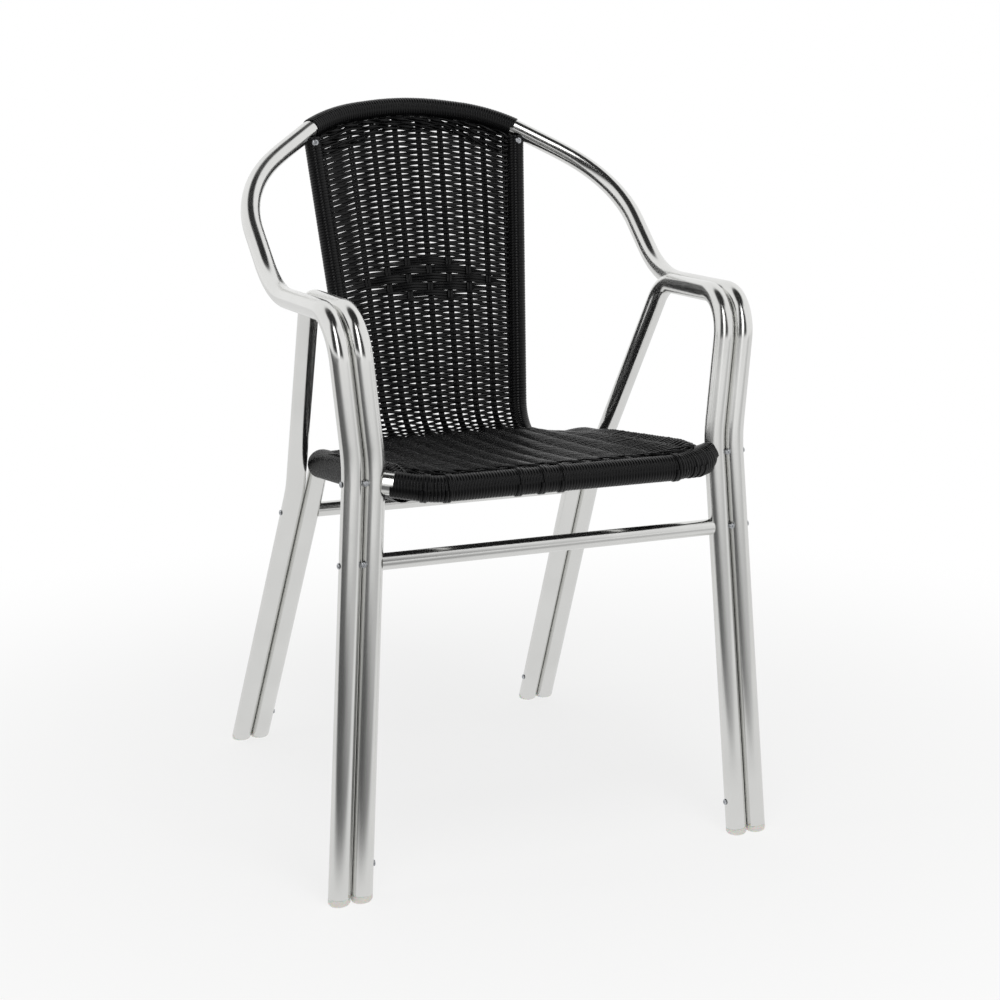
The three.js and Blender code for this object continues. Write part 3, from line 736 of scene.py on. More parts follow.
@dataclass(frozen=True)
class MilkyPolypropylene:
    """Unpigmented moulded polypropylene.

    The eye sees a whitish, slightly cloudy plug that light goes a little way into.
    """

    name: str = "moulded_natural_polypropylene"
    colour: str = "#e4e3de"
    cloud_colour: str = "#d2d0c8"
    clouds_per_metre: float = 220.0
    roughness: float = 0.34
    ior: float = 1.49
    milkiness: float = 0.35
    light_depth_mm: float = 3.0

    def build(self) -> Material:
        """Makes the material from the plug's own place."""
        material, shader = principled(self.name, {
            "IOR": self.ior, "Roughness": self.roughness, "Subsurface Weight": self.milkiness,
            "Subsurface Scale": self.light_depth_mm * MM,
        })
        tree = material.node_tree
        cloud = noise(tree, object_place(tree), self.clouds_per_metre)
        feed(shader, {"Base Color": toned(tree, cloud, self.colour, self.cloud_colour)})
        return material


@dataclass(frozen=True)
class PlatedSteel:
    """Zinc plated steel screw heads.

    The eye sees a bright, slightly blue metal with fine duller spots.
    """

    name: str = "zinc_plated_steel"
    colour: str = "#cfd1d4"
    dull_colour: str = "#a9acb0"
    roughness: tuple[float, float] = (0.14, 0.34)
    spots_per_metre: float = 900.0

    def build(self) -> Material:
        """Makes the material from the heads' own places."""
        material, shader = principled(self.name, {"Metallic": 1.0})
        tree = material.node_tree
        spots = noise(tree, object_place(tree), self.spots_per_metre)
        feed(shader, {
            "Base Color": toned(tree, spots, self.colour, self.dull_colour),
            "Roughness": Ramp(0.0, 1.0, *self.roughness, "LINEAR").add(tree, spots),
        })
        return material


@dataclass(frozen=True)
class TubeFrame:
    """The bent and welded tubes."""

    lines: FrameLines
    material: Material
    joint_share: float = 0.8

    def tube(self, node: str, points: Sequence[Vector], diameter: float) -> None:
        """Makes one tube in its CAD node's place, of a diameter in millimetres."""
        made = tube_object(f"{node}_fine", points, diameter / 2 * MM)
        finish_piece(made, self.material, [node])

    def stretcher(self, foot: Vector, knee: Vector, height: float) -> list[Vector]:
        """Gives the line of a stretcher between two inner legs.

        Args:
            foot: the outer leg's foot on the right side.
            knee: its knee.
            height: the stretcher's height.

        Returns:
            The two ends, a wall's thickness inside the legs.
        """
        lines = self.lines
        ends = []
        for side in Side:
            low, high = (lines.sided(p, side, lines.pair_pitch) for p in (foot, knee))
            ends.append(place(lines.at_height(low, high, height)))
        inward = (ends[1] - ends[0]).normalized() * lines.tube_r * MM * self.joint_share
        return [ends[0] + inward, ends[1] - inward]

    def build(self) -> None:
        """Makes every tube of the frame."""
        lines = self.lines
        self.tube("back_hoop_tube", lines.hoop().points, lines.tube_d)
        for side in Side:
            self.tube(f"{side.label}_side_tube", lines.side_tube(side).points, lines.tube_d)
            self.tube(f"{side.label}_rear_leg_tube", lines.rear_leg(side).points, lines.tube_d)
            upright = lines.upright(side)
            points = upright.part(lines.tube_r * MM, upright.total - lines.tube_r * MM)
            self.tube(f"{side.label}_back_upright", points, lines.upright_d)
        front = self.stretcher(lines.front_foot, lines.front_knee, lines.front_stretcher_height)
        rear = self.stretcher(lines.rear_foot, lines.rear_knee, lines.rear_stretcher_height)
        self.tube("front_stretcher", front, lines.stretcher_d)
        self.tube("rear_stretcher", rear, lines.stretcher_d)
        inset = lines.tube_r * MM * self.joint_share
        for node, path in (("seat_front_rail", lines.front_rail()), ("seat_rear_bow", lines.bow())):
            self.tube(node, path.part(inset, path.total - inset), lines.tube_d)


@dataclass(frozen=True)
class FootPlugs:
    """The plugs in the legs' lower ends, in millimetres."""

    lines: FrameLines
    material: Material
    sole_r: float = 8.5
    swell_power: float = 0.8
    round_share: float = 0.62
    shoulder_share: float = 0.92
    top_r_share: float = 0.97
    sides: int = 32
    round_steps: int = 6

    def profile(self) -> list[tuple[float, float]]:
        """Gives the plug's radius at rising shares of its flange's height."""
        lip = self.lines.tube_r
        rounded = []
        for k in range(self.round_steps + 1):
            angle = k / self.round_steps * math.pi / 2
            radius = self.sole_r + (lip - self.sole_r) * math.sin(angle) ** self.swell_power
            rounded.append((radius, (1 - math.cos(angle)) * self.round_share))
        return [*rounded, (lip, self.shoulder_share), (lip * self.top_r_share, 1.0)]

    def plug(self, node: str, foot: Vector, knee: Vector) -> None:
        """Makes one plug, level at its sole and square to the leg at its top.

        Args:
            node: the CAD node that the plug stands for.
            foot: the leg's foot.
            knee: its knee.
        """
        axis = (knee - foot).normalized()
        across = (Vector((1, 0, 0)) - axis * axis.x).normalized()
        up = axis.cross(across)
        rings = []
        for radius, share in self.profile():
            centre = self.lines.at_height(foot, knee, share * self.lines.plug_flange)
            ring = []
            for angle in ring_angles(self.sides):
                level = Vector((math.cos(angle), math.sin(angle), 0))
                tilted = across * math.cos(angle) + up * math.sin(angle)
                ring.append(place(centre + level.lerp(tilted, share) * radius))
            rings.append(ring)
        finish_piece(lofted(f"{node}_fine", rings), self.material, [node])

    def build(self) -> None:
        """Makes all the plugs."""
        lines = self.lines
        legs = {"front": (lines.front_foot, lines.front_knee), "rear": (lines.rear_foot, lines.rear_knee)}
        for end, leg in legs.items():
            for side in Side:
                for depth, inset in (("outer", 0.0), ("inner", lines.pair_pitch)):
                    foot, knee = (lines.sided(p, side, inset) for p in leg)
                    self.plug(f"{end}_{side.label}_{depth}_foot_plug", foot, knee)


@dataclass(frozen=True)
class Fasteners:
    """Domed heads with a six-sided socket, in millimetres."""

    lines: FrameLines
    material: Material
    rim_share: float = 0.3
    socket_r_share: float = 0.46
    socket_lip: float = 1.12
    socket_edge_share: float = 0.98
    socket_depth_share: float = 0.45
    sides: int = 24
    dome_steps: int = 5
    groove_depth: float = 8.2
    groove_head_r: float = 3.4
    groove_head_height: float = 2.6

    def head(self, node: str) -> Object:
        """Makes a head where its CAD node sits, facing as the node does.

        Args:
            node: the CAD node that the head stands for.

        Returns:
            The head.
        """
        low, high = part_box(node)
        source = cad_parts[node].data
        middle = (low + high) / 2
        areas: dict[tuple[float, ...], float] = {}
        for face in source.polygons:
            key = tuple(round(v, 2) for v in face.normal)
            areas[key] = areas.get(key, 0.0) + face.area
        facing = -Vector(max(areas, key=areas.get)).normalized()
        offsets = [v.co - middle for v in source.vertices]
        heights = [o.dot(facing) for o in offsets]
        height = max(heights) - min(heights)
        radius = max((o - facing * h).length for o, h in zip(offsets, heights))
        return self.dome(node, middle - facing * height / 2, facing, radius, height)

    def dome(self, node: str, seat: Vector, facing: Vector, radius: float, height: float) -> Object:
        """Makes a head's dome, rim and socket.

        Args:
            node: the CAD node that the head stands for.
            seat: the middle of its underside.
            facing: the way it faces.
            radius: its radius in metres.
            height: its height in metres.

        Returns:
            The head.
        """
        socket_r = radius * self.socket_r_share
        inner = socket_r * self.socket_lip
        levels = [(radius, 0.0, False), (radius, height * self.rim_share, False)]
        for k in range(1, self.dome_steps + 1):
            angle = math.pi / 2 * k / self.dome_steps
            lift = self.rim_share + (1 - self.rim_share) * math.sin(angle)
            levels.append((inner + (radius - inner) * math.cos(angle), height * lift, False))
        levels.append((socket_r, height * self.socket_edge_share, True))
        levels.append((socket_r, height * (1 - self.socket_depth_share), True))
        across = facing.orthogonal().normalized()
        up = facing.cross(across)
        rings = []
        for ring_r, lift, hexed in levels:
            ring = []
            for angle in ring_angles(self.sides):
                off_flat = ((angle + math.pi / 6) % (math.pi / 3)) - math.pi / 6
                reach = ring_r * (math.cos(math.pi / 6) / math.cos(off_flat) if hexed else 1.0)
                ring.append(seat + facing * lift + (across * math.cos(angle) + up * math.sin(angle)) * reach)
            rings.append(ring)
        return lofted(f"{node}_fine", rings)

    def groove_head(self, node: str) -> Object:
        """Makes a small head in the groove between the doubled front tubes, level with a screw.

        Args:
            node: the screw's CAD node.

        Returns:
            The head.
        """
        low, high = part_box(node)
        height = (low.z + high.z) / 2
        pair = [self.lines.hoop(), self.lines.side_tube(Side.LEFT)]
        spots = [path.at(path.length_where(lambda p: p.z > height)) for path in pair]
        middle = (spots[0] + spots[1]) / 2
        middle.x = math.copysign(middle.x, low.x)
        facing = Vector((0, -1, 0))
        seat = middle + facing * self.groove_depth * MM
        size = (self.groove_head_r * MM, self.groove_head_height * MM)
        return self.dome(f"{node}_groove", seat, facing, *size)

    def build(self) -> None:
        """Makes every head, and a small one in the groove beside each screw of the front legs' pairs."""
        for node in sorted(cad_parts):
            if not node.endswith(("_screw", "_bolt")):
                continue
            made = self.head(node)
            if node.endswith(("seat_rail_screw", "front_stretcher_screw")):
                made = joined([made, self.groove_head(node)], f"{node}_fine")
            finish_piece(made, self.material, [node])


@dataclass(frozen=True)
class StrandSizes:
    """Sizes of the strand and of the weave, in millimetres."""

    width: float = 4.4
    thickness: float = 2.1
    winding_pitch: float = 3.8
    winding_thickness: float = 1.6
    winding_lap: float = 1.16
    winding_steps: int = 26
    winding_looseness: float = 0.25
    course_pitch: float = 4.0
    course_steps: int = 8
    swing: float = 2.1
    seat_swing: float = 1.5
    pairing_share: float = 0.18
    edge_swing: float = 0.8
    unevenness: float = 0.5
    relief: float = 1.6
    twin_gap_share: float = 0.94
    twist_pitch: float = 52.0
    twist_r: float = 1.7
    twist_steps: int = 16
    twist_looseness: float = 1.2


class StrandTrees:
    """The node trees that lay strand along a path or weave it through a surface."""

    MAP_MARGIN = 0.001
    SIDE_MARGIN = 0.0005
    MOTIF_BAND = 3.0
    MOTIF_REACH = 3.0
    SLACK_SCALE = 0.7
    WAVE_SCALE = 0.45

    def __init__(self) -> None:
        """Builds the trees."""
        self.winding = self._winding()
        self.weave = self._weave()
        self.stakes = self._stakes()

    @staticmethod
    def _start(name: str, counts: Sequence[str],
               values: Sequence[str]) -> tuple[NodeTree, dict[str, Any]]:
        """Starts a tree with its named inputs.

        Args:
            name: the tree's name.
            counts: the inputs that are whole numbers.
            values: the inputs that are other numbers.

        Returns:
            The tree, and its inputs by name.
        """
        tree = bpy.data.node_groups.new(name, "GeometryNodeTree")
        kinds = {"Geometry": "NodeSocketGeometry", **dict.fromkeys(counts, "NodeSocketInt"),
                 **dict.fromkeys((*values, "Width", "Thickness"), "NodeSocketFloat"),
                 "Material": "NodeSocketMaterial"}
        for label, kind in kinds.items():
            tree.interface.new_socket(label, in_out="INPUT", socket_type=kind)
        tree.interface.new_socket("Geometry", in_out="OUTPUT", socket_type="NodeSocketGeometry")
        return tree, {item.name: item for item in add_node(tree, "NodeGroupInput").outputs if item.name}

    @staticmethod
    def _line(tree: NodeTree, count: Socket) -> Socket:
        """Adds a line of length 1 with a number of points."""
        line = add_node(tree, "GeometryNodeCurvePrimitiveLine", {"End": (1.0, 0.0, 0.0)}).outputs[0]
        return add_node(tree, "GeometryNodeResampleCurve", {"Curve": line, "Count": count}).outputs[0]

    @staticmethod
    def _share(tree: NodeTree) -> Socket:
        """Adds the share of its line at which a point stands."""
        where = add_node(tree, "GeometryNodeInputPosition").outputs[0]
        return add_node(tree, "ShaderNodeSeparateXYZ", {0: where}).outputs[0]

    def _lines(self, tree: NodeTree, lines: Socket, count: Socket) -> tuple[Socket, Socket]:
        """Adds many lines of length 1.

        Args:
            tree: the tree.
            lines: how many lines there are.
            count: how many points each has.

        Returns:
            The lines, and the number of each.
        """
        dots = add_node(tree, "GeometryNodePoints", {"Count": lines}).outputs[0]
        inputs = {"Points": dots, "Instance": self._line(tree, count)}
        copies = add_node(tree, "GeometryNodeInstanceOnPoints", inputs).outputs[0]
        real = add_node(tree, "GeometryNodeRealizeInstances", {"Geometry": copies}).outputs[0]
        index = add_node(tree, "GeometryNodeInputIndex").outputs[0]
        number = add_node(tree, "GeometryNodeFieldOnDomain", {0: index}, domain="CURVE", data_type="INT")
        return real, number.outputs[0]

    @staticmethod
    def _sweep(tree: NodeTree, known: dict[str, Any], curves: Socket, spots: Socket,
               facing: Socket) -> None:
        """Lays curves on their places, sweeps a flat oval strand along them and closes the tree.

        Args:
            tree: the tree.
            known: its inputs by name.
            curves: the curves.
            spots: the places of their points.
            facing: the way that each strand's flat side faces.
        """
        kept = add_node(tree, "GeometryNodeCaptureAttribute", {"Geometry": curves})
        kept.capture_items.new("VECTOR", "Facing")
        tree.links.new(facing, kept.inputs["Facing"])
        inputs = {"Geometry": kept.outputs["Geometry"], "Position": spots}
        laid = add_node(tree, "GeometryNodeSetPosition", inputs).outputs[0]
        inputs = {"Curve": laid, "Normal": kept.outputs["Facing"]}
        faced = add_node(tree, "GeometryNodeSetCurveNormal", inputs, mode="FREE").outputs[0]
        inputs = {"Resolution": STRAND_SIDES, "Radius": 0.5}
        circle = add_node(tree, "GeometryNodeCurvePrimitiveCircle", inputs).outputs["Curve"]
        inputs = {"Geometry": circle, "Scale": combined(tree, known["Thickness"], known["Width"], 1.0)}
        oval = add_node(tree, "GeometryNodeTransform", inputs).outputs[0]
        inputs = {"Curve": faced, "Profile Curve": oval, "Fill Caps": True}
        strand = add_node(tree, "GeometryNodeCurveToMesh", inputs).outputs[0]
        for kind in ("GeometryNodeSetShadeSmooth", "GeometryNodeRealizeInstances"):
            strand = add_node(tree, kind, {"Geometry": strand}).outputs[0]
        inputs = {"Geometry": strand, "Material": known["Material"]}
        dressed = add_node(tree, "GeometryNodeSetMaterial", inputs).outputs[0]
        add_node(tree, "NodeGroupOutput", {"Geometry": dressed})

    def _winding(self) -> NodeTree:
        """Builds the tree that winds a strand round a path."""
        tree, known = self._start(
            "wound_strand", ("Steps",), ("Turns", "Radius", "Phase", "Looseness", "Seed"))
        path = add_node(tree, "GeometryNodeMeshToCurve", {"Mesh": known["Geometry"]}).outputs[0]
        known["share"] = self._share(tree)
        sums(tree, known, [
            ("runs", "MULTIPLY", "Turns", "Steps"), ("count", "ADD", "runs", 1.0),
            ("turned", "MULTIPLY", "share", "Turns"), ("phased", "ADD", "turned", "Phase"),
            ("angle", "MULTIPLY", "phased", 2 * math.pi),
            ("cos", "COSINE", "angle"), ("sin", "SINE", "angle"),
        ])
        known["noise"] = noise(tree, combined(tree, known["phased"], known["Seed"]), self.SLACK_SCALE, 1.0)
        sums(tree, known, [("slack", "MULTIPLY", "noise", "Looseness"), ("reach", "ADD", "Radius", "slack")])
        spot = add_node(tree, "GeometryNodeSampleCurve", {"Curves": path, "Factor": known["share"]},
                        mode="FACTOR", use_all_curves=True).outputs
        side = vector(tree, "CROSS_PRODUCT", spot["Tangent"], spot["Normal"])
        first = vector(tree, "SCALE", spot["Normal"], known["cos"])
        second = vector(tree, "SCALE", side, known["sin"])
        spoke = vector(tree, "ADD", first, second)
        spots = vector(tree, "ADD", spot["Position"], vector(tree, "SCALE", spoke, known["reach"]))
        self._sweep(tree, known, self._line(tree, known["count"]), spots, spoke)
        return tree

    def _weave(self) -> NodeTree:
        """Builds the tree that weaves level strands in front of and behind a panel's stakes."""
        tree, known = self._start("plain_weave", ("Courses", "Spaces", "Steps"), (
            "Swing", "Edge Swing", "Pairing", "Motif Course", "Unevenness", "Relief", "Seed"))
        sums(tree, known, [("runs", "MULTIPLY", "Spaces", "Steps"), ("count", "ADD", "runs", 1.0)])
        lines, known["course"] = self._lines(tree, known["Courses"], known["count"])
        known["u"] = self._share(tree)
        sums(tree, known, [
            ("along", "MULTIPLY", "u", "Spaces"), ("space", "FLOOR", "along"),
            ("part", "SUBTRACT", "along", "space"),
            ("middle", "DIVIDE", "Spaces", 2.0), ("last", "SUBTRACT", "Spaces", 0.5),
            ("extra", "SUBTRACT", "Edge Swing", "Swing"),
        ])
        self._motif(tree, known)
        for end, step in (("here", 0.0), ("next", 1.0)):
            self._passing(tree, known, end, step)
        for name in ("swing", "pair"):
            ends = {"To Min": known[f"{name}_here"], "To Max": known[f"{name}_next"]}
            inputs = {"Value": known["part"], **ends}
            step = add_node(tree, "ShaderNodeMapRange", inputs, interpolation_type="SMOOTHSTEP")
            known[name] = step.outputs[0]
        lot = combined(tree, known["along"], known["course"], known["Seed"])
        known["noise"] = noise(tree, lot, self.WAVE_SCALE, 1.0)
        sums(tree, known, [
            ("centred", "SUBTRACT", "noise", 0.5), ("uneven", "MULTIPLY", "centred", "Unevenness"),
            ("paired", "MULTIPLY", "pair", "Pairing"), ("raised", "ADD", "course", "paired"),
            ("wavy", "ADD", "raised", "uneven"), ("centre", "ADD", "wavy", 0.5),
            ("share", "DIVIDE", "centre", "Courses"),
            ("u1", "MAXIMUM", "u", self.SIDE_MARGIN), ("u2", "MINIMUM", "u1", 1 - self.SIDE_MARGIN),
            ("risen", "MULTIPLY", "centred", "Relief"), ("pushed", "ADD", "swing", "risen"),
        ])
        position, normal = self._surface(tree, known, "u2", "share")
        spots = vector(tree, "ADD", position, vector(tree, "SCALE", normal, known["pushed"]))
        self._sweep(tree, known, lines, spots, normal)
        return tree

    def _motif(self, tree: NodeTree, known: dict[str, Any]) -> None:
        """Adds how far the pattern in the panel's middle reaches at a course, in stakes to each side.

        Args:
            tree: the tree.
            known: its sockets by name, to which the results are added.
        """
        sums(tree, known, [
            ("above", "SUBTRACT", "course", "Motif Course"), ("thirds", "DIVIDE", "above", self.MOTIF_BAND),
            ("band0", "FLOOR", "thirds"), ("band", "ADD", "band0", 1.0),
            ("off_band", "SUBTRACT", "band", self.MOTIF_REACH), ("off_size", "ABSOLUTE", "off_band"),
            ("reach", "SUBTRACT", self.MOTIF_REACH, "off_size"), ("reached", "ADD", "reach", 0.5),
            ("in_motif", "GREATER_THAN", "reach", 0.5),
        ])

    @staticmethod
    def _passing(tree: NodeTree, known: dict[str, Any], end: str, step: float) -> None:
        """Adds how a strand passes a stake: on which side, how far off, and whether it leans to a pair.

        Args:
            tree: the tree.
            known: its sockets by name, to which the results are added.
            end: the ending of the results' names.
            step: 0 for the stake before the place, 1 for the stake after it.
        """
        sums(tree, known, [
            ("stake", "ADD", "space", step), ("off", "SUBTRACT", "stake", "middle"),
            ("both", "ADD", "course", "off"), ("plain0", "MODULO", "both", 2.0),
            ("plain", "ABSOLUTE", "plain0"),
            ("off_middle", "ABSOLUTE", "off"), ("near", "LESS_THAN", "off_middle", "reached"),
            ("inside", "MULTIPLY", "near", "in_motif"), ("group", "ADD", "band", "off"),
            ("grouped0", "MODULO", "group", 2.0), ("grouped", "ABSOLUTE", "grouped0"),
            ("change", "SUBTRACT", "grouped", "plain"), ("changed", "MULTIPLY", "change", "inside"),
            ("front", "ADD", "plain", "changed"), ("twice", "MULTIPLY", "front", 2.0),
            ("sign", "SUBTRACT", "twice", 1.0), ("left_edge", "LESS_THAN", "stake", 0.5),
            ("right_edge", "GREATER_THAN", "stake", "last"),
            ("edge", "MAXIMUM", "left_edge", "right_edge"),
            ("alike", "MAXIMUM", "edge", "inside"), ("pairs", "SUBTRACT", 1.0, "alike"),
            (f"pair_{end}", "MULTIPLY", "sign", "pairs"), ("added", "MULTIPLY", "edge", "extra"),
            ("swing_size", "ADD", "Swing", "added"), (f"swing_{end}", "MULTIPLY", "swing_size", "sign"),
        ])

    def _surface(self, tree: NodeTree, known: dict[str, Any], across: str, up: str) -> list[Socket]:
        """Reads the panel's surface at a place on its map.

        Args:
            tree: the tree.
            known: its sockets by name.
            across: the name of the place's share across.
            up: the name of its share up.

        Returns:
            The sockets of the position and of the normal there.
        """
        sums(tree, known, [
            ("v1", "MAXIMUM", up, self.MAP_MARGIN), ("v", "MINIMUM", "v1", 1 - self.MAP_MARGIN),
        ])
        spot = combined(tree, known[across], known["v"])
        found = []
        for kind in ("GeometryNodeInputPosition", "GeometryNodeInputNormal"):
            chart = add_node(tree, "GeometryNodeInputNamedAttribute", {"Name": SURFACE_MAP},
                             data_type="FLOAT_VECTOR")
            inputs = {"Mesh": known["Geometry"], "Value": add_node(tree, kind).outputs[0],
                      "Source UV Map": chart.outputs[0], "Sample UV": spot}
            sample = add_node(tree, "GeometryNodeSampleUVSurface", inputs, data_type="FLOAT_VECTOR")
            found.append(sample.outputs[0])
        return found

    def _stakes(self) -> NodeTree:
        """Builds the tree that stands pairs of strands between a panel's edges as its stakes."""
        tree, known = self._start("paired_stakes", ("Spaces", "Steps"), ("Twin Gap",))
        sums(tree, known, [("stakes", "SUBTRACT", "Spaces", 1.0), ("all", "MULTIPLY", "stakes", 2.0)])
        lines, known["number"] = self._lines(tree, known["all"], known["Steps"])
        known["share"] = self._share(tree)
        sums(tree, known, [
            ("half", "DIVIDE", "number", 2.0), ("before", "FLOOR", "half"), ("stake", "ADD", "before", 1.0),
            ("u", "DIVIDE", "stake", "Spaces"), ("twin", "MODULO", "number", 2.0),
            ("centred", "SUBTRACT", "twin", 0.5), ("aside", "MULTIPLY", "centred", "Twin Gap"),
        ])
        position, normal = self._surface(tree, known, "u", "share")
        spots = vector(tree, "ADD", position, combined(tree, known["aside"]))
        self._sweep(tree, known, lines, spots, normal)
        return tree


def settled(source: Object, tree: NodeTree, values: dict[str, Any],
            name: str) -> Object:
    """Runs a node tree on an object and keeps its result as a plain mesh.

    Args:
        source: the object that holds the path or the surface. It goes.
        tree: the tree.
        values: a value for each of the tree's inputs by name.
        name: the name of the result.

    Returns:
        The object that holds the result.
    """
    modifier = source.modifiers.new(tree.name, "NODES")
    modifier.node_group = tree
    for item in tree.interface.items_tree:
        if item.in_out == "INPUT" and item.name in values:
            modifier[item.identifier] = values[item.name]
    graph = bpy.context.evaluated_depsgraph_get()
    mesh = bpy.data.meshes.new_from_object(source.evaluated_get(graph), depsgraph=graph)
    bpy.data.objects.remove(source)
    mesh.name = name
    made = bpy.data.objects.new(name, mesh)
    bpy.context.scene.collection.objects.link(made)
    return made


def joined(parts: Sequence[Object], name: str) -> Object:
    """Joins objects into one.

    Args:
        parts: the objects. They go.
        name: the name of the whole.

    Returns:
        The joined object.
    """
    with bpy.context.temp_override(active_object=parts[0], selected_editable_objects=list(parts)):
        bpy.ops.object.join()
    parts[0].name = name
    return parts[0]


@dataclass(frozen=True)
class StrandWork:
    """What the windings and the woven panels are both made from."""

    lines: FrameLines
    sizes: StrandSizes
    trees: StrandTrees
    material: Material

    def along(self, name: str, points: Sequence[Vector], values: dict[str, Any]) -> Object:
        """Winds one strand along a line.

        Args:
            name: the result's name.
            points: the line.
            values: a value for each of the winding tree's inputs by name.

        Returns:
            The wound strand.
        """
        edges = [(i, i + 1) for i in range(len(points) - 1)]
        source = new_object(f"{name}_path", points, [], edges)
        return settled(source, self.trees.winding, {"Material": self.material, **values}, name)


@dataclass(frozen=True)
class Windings(StrandWork):
    """Strand wound round the hoop, the rails and the uprights, in millimetres."""

    hoop_bare_end: float = 12.0
    upright_bare_end: float = 2.0
    rail_pitch: float = 3.6
    rail_padding: float = 1.3
    rail_reach: float = 4.0
    tie_shares: tuple[float, ...] = (0.09, 0.15, 0.36, 0.43, 0.49, 0.85)
    tie_lift_share: float = 0.8
    knot_length: float = 52.0
    knot_layers: int = 3
    knot_left_step: float = 9.0
    knot_right_step: float = 3.0
    knot_padding: float = 0.9
    knot_drop: float = 0.9
    side_padding: float = 4.2
    side_inset: float = 3.9
    side_drop: float = 2.0
    side_reach: float = 15.0
    rear_drop: float = 3.0
    rear_drop_length: float = 130.0

    def wind(self, name: str, points: Sequence[Vector], core_r: float, pitch: float) -> Object:
        """Winds strand round a line, turn beside turn.

        Args:
            name: the result's name.
            points: the line.
            core_r: the radius of what the strand lies on, in millimetres.
            pitch: millimetres along the line for each turn.

        Returns:
            The wound strand.
        """
        sizes = self.sizes
        length = run_lengths(points)[-1]
        turns = round(length / (pitch * MM))
        return self.along(name, points, {
            "Turns": float(turns), "Steps": sizes.winding_steps, "Phase": 0.0,
            "Looseness": sizes.winding_looseness * MM, "Seed": float(len(name)),
            "Radius": (core_r + sizes.winding_thickness / 2) * MM,
            "Width": length / turns * sizes.winding_lap, "Thickness": sizes.winding_thickness * MM,
        })

    def part(self, node: str, points: Sequence[Vector], core_r: float, pitch: float) -> None:
        """Winds strand in its CAD node's place, round a tube's line and radius in millimetres."""
        made = self.wind(f"{node}_strand", points, core_r, pitch)
        finish_piece(made, self.material, [node])

    def hoop(self) -> None:
        """Winds the hoop's top."""
        low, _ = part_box("back_hoop_winding")
        hoop = self.lines.hoop()
        start = hoop.length_where(lambda p: p.x > low.x and p.z > low.z) + self.hoop_bare_end * MM
        points = hoop.part(start, hoop.total - start)
        self.part("back_hoop_winding", points, self.lines.tube_r, self.sizes.winding_pitch)

    def front_rail(self) -> None:
        """Winds the seat's front rail, with its ties and the knot at its right end."""
        low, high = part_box("seat_front_rail_winding")
        rail, pitch = self.lines.front_rail(), self.rail_pitch
        start = rail.length_where(lambda p: p.x > low.x) - self.rail_reach * MM
        end = rail.length_where(lambda p: p.x > high.x)
        core_r = self.lines.tube_r + self.rail_padding
        tie_r = core_r + self.sizes.winding_thickness * self.tie_lift_share
        wound = [self.wind("front_rail_turns", rail.part(start, end), core_r, pitch)]
        for share in self.tie_shares:
            middle = start + (end - start) * share
            spot = rail.part(middle - pitch * MM, middle + pitch * MM)
            wound.append(self.wind(f"front_rail_tie_{len(wound)}", spot, tie_r, pitch))
        for layer in range(1, self.knot_layers + 1):
            first = end - (self.knot_length - self.knot_left_step * layer) * MM
            last = end - self.knot_right_step * layer * MM
            sunk = [p - Vector((0, 0, self.knot_drop * layer * MM)) for p in rail.part(first, last)]
            layer_r = core_r + self.knot_padding * layer
            wound.append(self.wind(f"front_rail_knot_{layer}", sunk, layer_r, pitch))
        made = joined(wound, "seat_front_rail_winding_strand")
        finish_piece(made, self.material, ["seat_front_rail_winding"])

    def side_rail(self, side: Side) -> None:
        """Winds a side rail, thicker than its tube, as the seat's weave turns round it.

        Args:
            side: the side wanted.
        """
        lines = self.lines
        node = f"{side.label}_side_rail_winding"
        low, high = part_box(node)
        rear_middle = Corner(Vector((0, lines.rear_rail_setback, lines.rear_rail_height)))
        rail = TubePath([*lines.bow_side(side), rear_middle])
        inner = min(abs(low.x), abs(high.x))
        start = rail.length_where(lambda p: p.y > low.y) - self.side_reach * MM
        end = rail.length_where(lambda p: abs(p.x) < inner)
        aside = Vector((-side.value * self.side_inset, 0, -self.side_drop)) * MM
        rear_drop = self.rear_drop * MM if side is Side.LEFT else 0.0
        moved = []
        for p in rail.part(start, end):
            at_rear = min(1.0, max(0.0, (p.y - high.y) / (self.rear_drop_length * MM) + 1))
            moved.append(p + aside - Vector((0, 0, rear_drop * at_rear)))
        self.part(node, moved, lines.tube_r + self.side_padding, self.sizes.winding_pitch)

    def upright(self, side: Side) -> None:
        """Winds a back upright.

        Args:
            side: the side wanted.
        """
        node = f"{side.label}_back_upright_winding"
        low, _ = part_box(node)
        upright = self.lines.upright(side)
        start = upright.length_where(lambda p: p.y > low.y)
        points = upright.part(start, upright.total - self.upright_bare_end * MM)
        self.part(node, points, self.lines.upright_d / 2, self.sizes.course_pitch)

    def rear_rail(self) -> None:
        """Winds the rear rail."""
        low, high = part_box("seat_rear_rail_winding")
        middle = (low + high) / 2
        ends = [Vector((x, middle.y, middle.z)) for x in (low.x, high.x)]
        self.part("seat_rear_rail_winding", ends, self.lines.tube_r, self.sizes.winding_pitch)

    def build(self) -> None:
        """Makes every winding."""
        self.hoop()
        self.front_rail()
        for side in Side:
            self.side_rail(side)
            self.upright(side)
        self.rear_rail()


